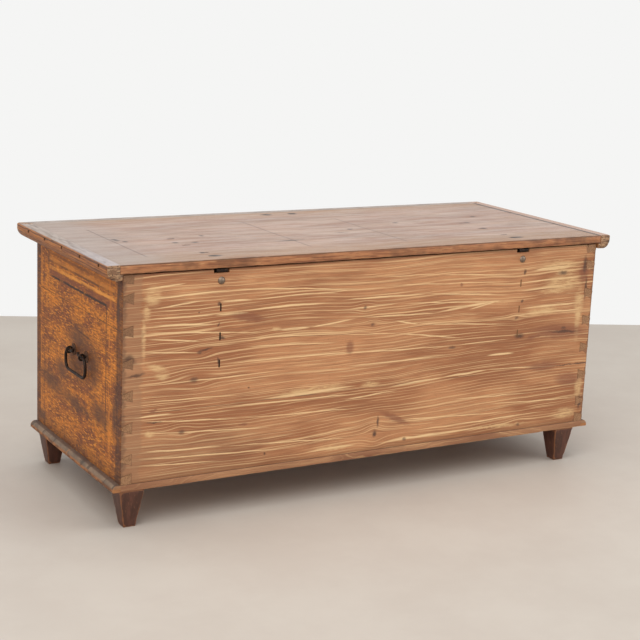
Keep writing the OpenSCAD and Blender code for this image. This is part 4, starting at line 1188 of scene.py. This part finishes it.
@dataclass
class Case:
    """Boards of the case, dovetailed at the corners."""

    half_length: float = CHEST.end
    back: float = CHEST.back
    floor: float = CHEST.floor
    top: float = CHEST.top
    seam: float = CHEST.long_seam
    wall: float = 24.0
    back_drop: float = 2.5
    pin_first: float = 53.0
    pin_pitch: float = 69.0
    pin_tip: float = 3.0
    pin_root: float = 11.5
    half_tip: float = 16.0
    half_root: float = 22.0
    pin_land: float = 6.0
    notch_at: float = 397.0
    notch_half: float = 18.0
    notch_floor: float = 540.6
    wear: Wear = field(default_factory=lambda: Wear(ease=0.8, chip=0.5, step=9.0))

    def pin_heights(self) -> list[float]:
        """Works out where the full pins are.

        Returns:
            Heights of their middles in mm.
        """
        room = self.top - self.floor - self.half_root - self.pin_root - self.pin_land - self.pin_first
        count = int(room // self.pin_pitch) + 1
        return [self.floor + self.pin_first + k * self.pin_pitch for k in range(count)]

    def sockets(self) -> list[tuple[float, float, float, float]]:
        """Finds the pins that the end boards push through this one.

        Returns:
            Low and high edge of each pin at the outside corner, then at its root, in mm.
        """
        made = [(self.floor, self.floor + self.half_tip, self.floor, self.floor + self.half_root)]
        made += [(z - self.pin_tip, z + self.pin_tip, z - self.pin_root, z + self.pin_root)
                 for z in self.pin_heights()]
        return made + [(self.top - self.half_tip, self.top, self.top - self.half_root, self.top)]

    def long_outline(self, low: float, high: float, notched: bool) -> list[tuple[float, float]]:
        """Outline of a front or back board with its dovetail sockets.

        Args:
            low: Lower edge.
            high: Upper edge.
            notched: True where the hinges are let in.

        Returns:
            Points in X and Z, in mm.
        """
        root = self.half_length - self.wall
        side: list[tuple[float, float]] = []
        for z0, z1, r0, r1 in self.sockets():
            if z1 <= low or z0 >= high:
                continue
            if z0 > low:
                side += [(self.half_length, z0), (root, r0)]
            else:
                side += [(root, low)]
            if z1 < high:
                side += [(root, min(r1, high)), (self.half_length, z1)]
            else:
                side += [(root, high)]
        if side[0][0] == self.half_length:
            side.insert(0, (self.half_length, low))
        if side[-1][0] == self.half_length:
            side.append((self.half_length, high))
        edge: list[tuple[float, float]] = []
        if notched:
            for s in (1, -1):
                for x, z in ((self.notch_half, high), (self.notch_half, self.notch_floor),
                             (-self.notch_half, self.notch_floor), (-self.notch_half, high)):
                    edge.append((s * self.notch_at + x, z))
        return side + edge + [(-x, z) for x, z in reversed(side)]

    def build(self) -> None:
        """Makes the boards."""
        inside = self.back - self.wall
        for node, low, high, notched in (("back_board_upper", self.seam, self.top - self.back_drop, True),
                                         ("back_board_lower", self.floor, self.seam, False)):
            line = self.long_outline(low, high, notched)
            inner, outer = (standing(line, y) for y in (inside, inside + self.wall - CHEST.worn))
            piece = carve(node.replace("_board", "_pine"), inner, outer, self.wear,
                          keep=lambda spot: abs(spot.z - self.seam) < CLOSE)
            stand_for(piece, node, "case", BACK.material(Grain.LONG_UPRIGHT))
        for node in ("front_board_upper", "front_board_lower"):
            dress(node, FRONT_PAINT.material(Grain.LONG_UPRIGHT))
        for side in ("right", "left"):
            for part in ("upper", "lower"):
                dress(f"end_{side}_{part}", END_PAINT.material(Grain.END_UPRIGHT))


@dataclass
class Base:
    """Bottom planks with their nosed ends, and the tapered feet."""

    reach: float = 637.0
    top: float = CHEST.floor
    low: float = CHEST.base
    upper_r: float = 12.0
    lower_r: float = 3.0
    front: float = CHEST.front
    seam: float = -1.0
    back: float = CHEST.back
    gap: float = 0.1
    foot_half_top: float = 28.0
    foot_half_base: float = 14.0
    foot_x: tuple[float, float] = (592.0, -567.0)
    foot_y: tuple[float, float] = (241.0, -211.0)
    wear: Wear = field(default_factory=lambda: Wear(ease=0.8, chip=1.2, grit=11.0, step=16.0, seed=3.0))
    foot_wear: Wear = field(default_factory=lambda: Wear(ease=1.6, chip=2.4, grit=9.0, step=9.0, seed=7.0))

    def outline(self) -> list[tuple[float, float]]:
        """Section of the bottom with both nosings.

        Returns:
            Points in X and Z, in mm.
        """
        side = arc((self.reach - self.lower_r, self.low + self.lower_r), self.lower_r, -90, 0, 6)
        side += arc((self.reach - self.upper_r, self.top - self.upper_r), self.upper_r, 0, 90, 9)
        return side + [(-x, z) for x, z in reversed(side)]

    def build(self) -> None:
        """Makes the planks and the feet."""
        line = self.outline()
        for node, y0, y1 in (("bottom_plank_front", self.front, self.seam),
                             ("bottom_plank_back", self.seam, self.back)):
            near, far = (standing(line, y) for y in (y0, y1 - self.gap))
            piece = carve(node.replace("plank", "board"), near, far, self.wear)
            stand_for(piece, node, "case", BOTTOM.material(Grain.FLAT))
        for side, x in zip(("right", "left"), self.foot_x):
            for row, y in zip(("back", "front"), self.foot_y):
                square = ((-1, -1), (1, -1), (1, 1), (-1, 1))
                base, high = ([Vector((x + a * half, y + b * half, z)) for a, b in square]
                              for half, z in ((self.foot_half_base, 0.0), (self.foot_half_top, self.low)))
                piece = carve(f"worn_foot_{row}_{side}", base, high, self.foot_wear)
                stand_for(piece, f"foot_{row}_{side}", "case", STAIN.material(Grain.LEG))


@dataclass
class Lid:
    """Lid planks and the mouldings round three of their sides."""

    half_length: float = CHEST.lid_end
    front: float = CHEST.lid_front
    seam: float = -15.0
    back: float = CHEST.lid_back
    low: float = CHEST.lid_low
    top: float = CHEST.lid_top
    lip: float = 13.0
    over: float = 36.0
    clear: float = 2.0
    corner_x: float = CHEST.end
    corner_y: float = CHEST.front
    round_r: float = 20.0
    edge_r: float = 4.0
    worn: float = CHEST.worn
    wear: Wear = field(default_factory=lambda: Wear(ease=1.0, chip=2.2, grit=13.0, step=12.0, seed=5.0))

    def section(self) -> list[tuple[float, float]]:
        """Section of a moulding.

        Returns:
            Distance out from the case and height, in mm.
        """
        low, top = self.low - self.lip, self.top - self.worn
        step = self.half_length - self.corner_x
        line = [(self.clear, low)]
        line += arc((self.over - self.round_r, low + self.round_r), self.round_r, -90, 0, 10)
        line += arc((self.over - self.edge_r, top - self.edge_r), self.edge_r, 0, 90, 5)
        return line + [(step, top), (step, self.low), (self.clear, self.low)]

    def jointed(self, spot: Vector) -> bool:
        """True on the glued joints round the planks, which stay close."""
        at_side = abs(abs(spot.x) - self.half_length) < CLOSE and spot.y < self.back - CLOSE
        return at_side or abs(spot.y - self.front) < CLOSE or abs(spot.y - self.seam) < CLOSE

    def build(self) -> None:
        """Makes the planks and the mouldings."""
        low, top = self.low + self.worn, self.top - self.worn
        corners = [(-self.half_length, low), (self.half_length, low),
                   (self.half_length, top), (-self.half_length, top)]
        for node, y0, y1 in (("lid_plank_front", self.front, self.seam),
                             ("lid_plank_back", self.seam, self.back)):
            near, far = (standing(corners, y) for y in (y0, y1))
            piece = carve(node.replace("plank", "board"), near, far, self.wear, keep=self.jointed)
            stand_for(piece, node, "lid", LID.material(Grain.FLAT))
        line = self.section()
        for side, s in (("right", 1), ("left", -1)):
            near = [Vector((s * (self.corner_x + u), self.corner_y - u, z)) for u, z in line]
            far = [Vector((s * (self.corner_x + u), self.back, z)) for u, z in line]
            piece = carve(f"lid_nosing_{side}", near, far, self.wear, keep=self.jointed)
            stand_for(piece, f"lid_mould_{side}", "lid", MOULD.material(Grain.FLAT_ENDWISE))
        near = [Vector((-self.corner_x - u, self.corner_y - u, z)) for u, z in line]
        far = [Vector((self.corner_x + u, self.corner_y - u, z)) for u, z in line]
        piece = carve("lid_nosing_front", near, far, self.wear, keep=self.jointed)
        stand_for(piece, "lid_mould_front", "lid", MOULD.material(Grain.FLAT))


class BarSweep:
    """Geometry Nodes group that forges an uneven round bar along paths."""

    # Metres between two rings of points, lumps per metre, points in a ring, and how uneven a bar is.
    step: float = 0.0012
    lumps: float = 90.0
    sides: int = 20
    unevenness: float = 0.16

    def __init__(self) -> None:
        """Builds the group once, with its named inputs."""
        self.tree = bpy.data.node_groups.new("forged_bar", "GeometryNodeTree")
        g = Graph(self.tree)
        face = self.tree.interface
        self.sockets = {
            name: face.new_socket(name, in_out="INPUT", socket_type="NodeSocket" + kind).identifier
            for name, kind in (("Geometry", "Geometry"), ("Radius", "Float"), ("Unevenness", "Float"),
                               ("Seed", "Float"), ("Material", "Material"))}
        face.new_socket("Geometry", in_out="OUTPUT", socket_type="NodeSocketGeometry")
        given = g.add("NodeGroupInput", out=None).outputs
        curve = g.add("GeometryNodeMeshToCurve", given["Geometry"])
        curve = g.add("GeometryNodeResampleCurve", {"Curve": curve, "Length": self.step}, mode="LENGTH")
        bumps = g.add("TexNoise", {"W": given["Seed"], "Scale": self.lumps, "Detail": 2.0},
                      noise_dimensions="4D")
        away = g.add("Math:SUBTRACT", bumps, 0.5)
        thick = g.add("Math:MULTIPLY_ADD", away, given["Unevenness"], 1.0)
        section = g.add("GeometryNodeCurvePrimitiveCircle",
                        {"Resolution": self.sides, "Radius": given["Radius"]})
        bar = g.add("GeometryNodeCurveToMesh",
                    {"Curve": curve, "Profile Curve": section, "Scale": thick, "Fill Caps": True})
        bar = g.add("GeometryNodeSetShadeSmooth", bar)
        bar = g.add("GeometryNodeRealizeInstances", bar)
        bar = g.add("GeometryNodeSetMaterial", {"Geometry": bar, "Material": given["Material"]})
        g.add("NodeGroupOutput", bar, out=None)

    def forge(self, name: str, paths: Sequence[tuple[Sequence[Point], bool]], radius: float, seed: float,
              material: bpy.types.Material) -> bpy.types.Object:
        """Makes a bar along some paths.

        Args:
            name: The piece's name.
            paths: Points in mm, and whether the path is closed.
            radius: Half the bar's thickness in mm.
            seed: Moves the unevenness.
            material: Its material.

        Returns:
            The object with its evaluated mesh.
        """
        points: list[Vector] = []
        edges: list[tuple[int, int]] = []
        for path, closed in paths:
            start = len(points)
            points += [Vector(p) * MM for p in path]
            edges += [(i, i + 1) for i in range(start, len(points) - 1)]
            if closed:
                edges.append((len(points) - 1, start))
        mesh = bpy.data.meshes.new(name + "_path")
        mesh.from_pydata(points, edges, [])
        bar = bpy.data.objects.new(name, mesh)
        bpy.context.scene.collection.objects.link(bar)
        live = bar.modifiers.new("forged_bar", "NODES")
        live.node_group = self.tree
        for key, value in (("Radius", radius * MM), ("Unevenness", self.unevenness), ("Seed", seed),
                           ("Material", material)):
            live[self.sockets[key]] = value
        solid = bpy.data.meshes.new_from_object(bar.evaluated_get(bpy.context.evaluated_depsgraph_get()))
        bar.modifiers.remove(live)
        bar.data = solid
        return bar


@dataclass
class Handles:
    """Swinging bails that hang in two eyes on each end."""

    pivot_x: float = 631.4
    y: float = 37.0
    z: float = 331.0
    leg: float = 58.0
    drop: float = 45.0
    bail_r: float = 3.4
    bend: float = 18.0
    corner: float = 18.0
    tip: float = 16.0
    tip_bend: float = 4.5
    tip_end: float = 2.0
    eye_half: float = 37.0
    eye_r: float = 2.2
    ring_r: float = 6.4
    inside: float = 593.5
    clench: float = 30.0

    def half(self) -> list[tuple[float, float]]:
        """One half of a bail.

        Returns:
            Points in Y and Z round its pivot, in mm, from the turned tip to the middle of the grip.
        """
        line = [(self.tip, self.tip_bend + self.tip_end)]
        line += arc((self.tip + self.tip_bend, self.tip_bend), self.tip_bend, 180, 270, 8)
        line += arc((self.leg - self.bend, -self.bend), self.bend, 90, 0, 8)
        return line + arc((self.leg - self.corner, -self.drop + self.corner), self.corner, 0, -90, 8)

    def build(self) -> None:
        """Forges the bails and the eyes."""
        sweep = BarSweep()
        iron = IRON.material(Grain.FLAT)
        for side, s in (("right", 1), ("left", -1)):
            x = s * self.pivot_x
            half = self.half()
            path = [(x, self.y + y, self.z + z) for y, z in half]
            path += [(x, self.y - y, self.z + z) for y, z in reversed(half)]
            bar = sweep.forge(f"forged_bail_{side}", [(path, False)], self.bail_r, 3.0 + s, iron)
            stand_for(bar, f"bail_{side}", f"bail_{side}", iron)
            for row, way in (("back", 1), ("front", -1)):
                y = self.y + way * self.eye_half
                # The ring's last step closes it, so the arc ends a step short of the full turn.
                loop = [(a, y, b) for a, b in arc((x, self.z), self.ring_r, 0, 345, 23)]
                shank = [(s * self.inside, y, self.z), (s * (self.pivot_x - self.ring_r), y, self.z)]
                points = [(s * self.inside, y, self.z + up * self.clench / 2) for up in (-1, 1)]
                paths = [(loop, True), (shank, False), (points, False)]
                bar = sweep.forge(f"forged_eye_{side}_{row}", paths, self.eye_r, 9.0 + s + way, iron)
                stand_for(bar, f"eye_{side}_{row}", "case", iron)


@dataclass
class Ironwork:
    """Hinges, nails and lock, dressed as they were packed."""

    rubbed: tuple[str, ...] = ("dome_bolt_right", "dome_bolt_left")
    rusted: tuple[str, ...] = ("washers_right", "washers_left")
    grimed: tuple[str, ...] = ("leaf_nails_left", "lid_mould_nails")

    def build(self) -> None:
        """Dresses the iron solids."""
        wooden = {"bare_pine", "grained_paint", "worn_lid_pine", "foot_wood"}
        special = {node: finish for finish, nodes in ((RUBBED, self.rubbed), (RUSTED, self.rusted),
                                                      (GRIMED, self.grimed)) for node in nodes}
        for part in frame["record"]["subparts"]:
            if part["material_slot"] not in wooden:
                dress(part["node"], special.get(part["node"], IRON).material(Grain.FLAT))


@dataclass(frozen=True)
class SoftBox:
    """A square lamp: its name, place and aim in metres, its width in metres and its power in watts."""

    name: str
    place: Point
    aim: Point
    size: float
    power: float


@dataclass
class Studio:
    """Pale floor and wall, soft light, and the camera of the photograph."""

    # In metres, how far the camera sees, how far the wall runs on past its feet, and how deep floor and wall
    # are, then the strength of the world's light.
    far: float = 100.0
    spare: float = 4.0
    deep: float = 12.0
    sky: float = 0.55
    wall_feet: tuple[tuple[float, float], ...] = ((0.226, -1.713), (-1.825, -0.839))
    wall_shown: str = "#F5F5F4"
    wall_colour: str = "#EEECE9"
    wall_light: str = "#F0EEEB"
    floor_colour: str = "#C2B8AD"
    floor_light: str = "#C7BEB3"
    lamps: tuple[SoftBox, ...] = (SoftBox("key_box", (2.6, 2.4, 3.4), (0, 0, 0.3), 3.0, 92.0),
                                  SoftBox("fill_box", (-3.4, 2.6, 2.4), (0, 0, 0.3), 2.5, 43.0),
                                  SoftBox("top_box", (0.0, 0.0, 4.0), (0, 0, 0.5), 3.0, 54.0))

    def camera(self) -> None:
        """Stands the camera where the photograph was taken from."""
        right, up, ahead = VIEWPOINT.axes()
        data = bpy.data.cameras.new("camera")
        data.lens, data.sensor_width, data.clip_end = VIEWPOINT.lens, VIEWPOINT.sensor, self.far
        eye = bpy.data.objects.new("camera", data)
        turned = Matrix((right, up, -ahead)).transposed().to_4x4()
        eye.matrix_world = Matrix.Translation(VIEWPOINT.eye) @ turned
        bpy.context.scene.collection.objects.link(eye)
        bpy.context.scene.camera = eye

    def seen(self, g: Graph) -> Socket:
        """One for what the camera sees, and for what metal mirrors, else zero."""
        path = g.add("LightPath", out=None).outputs
        return g.add("Math:MAXIMUM", path["Is Camera Ray"], path["Is Glossy Ray"])

    def plain(self, name: str, colour: str, light: str, shown: str, rough: float) -> bpy.types.Material:
        """Material of the floor or the wall, lit by the lamps and shown a little paler.

        Args:
            name: The material's name.
            colour: Its colour.
            light: Its colour where it is a little paler.
            shown: Colour that the camera sees where no lamp matters, or an empty string.
            rough: Its roughness.

        Returns:
            The material.
        """
        made = bpy.data.materials.new(name)
        made.use_nodes = True
        g = Graph(made.node_tree)
        place = g.add("TexCoord", out=3)
        blotches = g.add("TexNoise", {"Vector": place, "Scale": 3.0, "Detail": 6.0, "Roughness": 0.65})
        patchy = g.add("MapRange", blotches, 0.35, 0.65)
        paler = g.add("Mix", {0: patchy, 6: linear(colour), 7: linear(light)}, out=2, data_type="RGBA")
        shader = g.add("BsdfPrincipled", {"Base Color": paler, "Roughness": rough})
        if shown:
            glow = g.add("Emission", linear(shown), 1.0)
            shader = g.add("MixShader", self.seen(g), shader, glow)
        g.add("OutputMaterial", shader, out=None)
        return made

    def sheet(self, name: str, corners: Sequence[Point], material: bpy.types.Material) -> None:
        """Adds one flat sheet of the stage.

        Args:
            name: Its name.
            corners: Its four corners in metres.
            material: Its material.
        """
        mesh = bpy.data.meshes.new(name)
        mesh.from_pydata(corners, [], [(0, 1, 2, 3)])
        mesh.materials.append(material)
        sheet = bpy.data.objects.new(name, mesh)
        bpy.context.scene.collection.objects.link(sheet)

    def hang(self, box: SoftBox) -> None:
        """Adds one lamp.

        Args:
            box: The lamp's values.
        """
        data = bpy.data.lights.new(box.name, "AREA")
        data.size, data.energy = box.size, box.power
        lamp = bpy.data.objects.new(box.name, data)
        turned = (Vector(box.aim) - Vector(box.place)).to_track_quat("-Z", "Y")
        lamp.matrix_world = Matrix.Translation(box.place) @ turned.to_matrix().to_4x4()
        bpy.context.scene.collection.objects.link(lamp)

    def build(self) -> None:
        """Sets the stage, the lamps, the world and the camera."""
        self.camera()
        floor = self.plain("studio_floor", self.floor_colour, self.floor_light, "", 0.6)
        wall = self.plain("studio_backdrop", self.wall_colour, self.wall_light, self.wall_shown, 0.9)
        ends = [Vector((*foot, 0.0)) for foot in self.wall_feet]
        way = (ends[1] - ends[0]).normalized()
        out = way.cross(Vector((0, 0, 1)))
        if out.dot(Vector(VIEWPOINT.eye)) < 0:
            out = -out
        left, right = ends[0] - way * self.spare, ends[1] + way * self.spare
        for name, away, material in (("floor", out * self.deep, floor), ("backdrop", -out * self.deep, wall)):
            self.sheet(name, [tuple(p) for p in (left, right, right + away, left + away)], material)
        world = bpy.data.worlds.new("world")
        world.use_nodes = True
        g = Graph(world.node_tree)
        soft = g.add("Background", (1.0, 1.0, 1.0, 1.0), self.sky)
        backdrop = g.add("Background", linear(self.wall_shown), 1.0)
        g.add("OutputWorld", g.add("MixShader", self.seen(g), soft, backdrop), out=None)
        bpy.context.scene.world = world
        for box in self.lamps:
            self.hang(box)
        bpy.context.scene.view_settings.view_transform = "Standard"


def main() -> None:
    """Builds the chest piece by piece, then the studio."""
    logging.basicConfig(level=logging.INFO, format="%(name)s: %(message)s")
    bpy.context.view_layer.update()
    for part in (Case(), Base(), Lid(), Handles(), Ironwork()):
        part.build()
        LOG.info("%s is built", type(part).__name__)
    Studio().build()


if __name__ == "__main__":
    main()
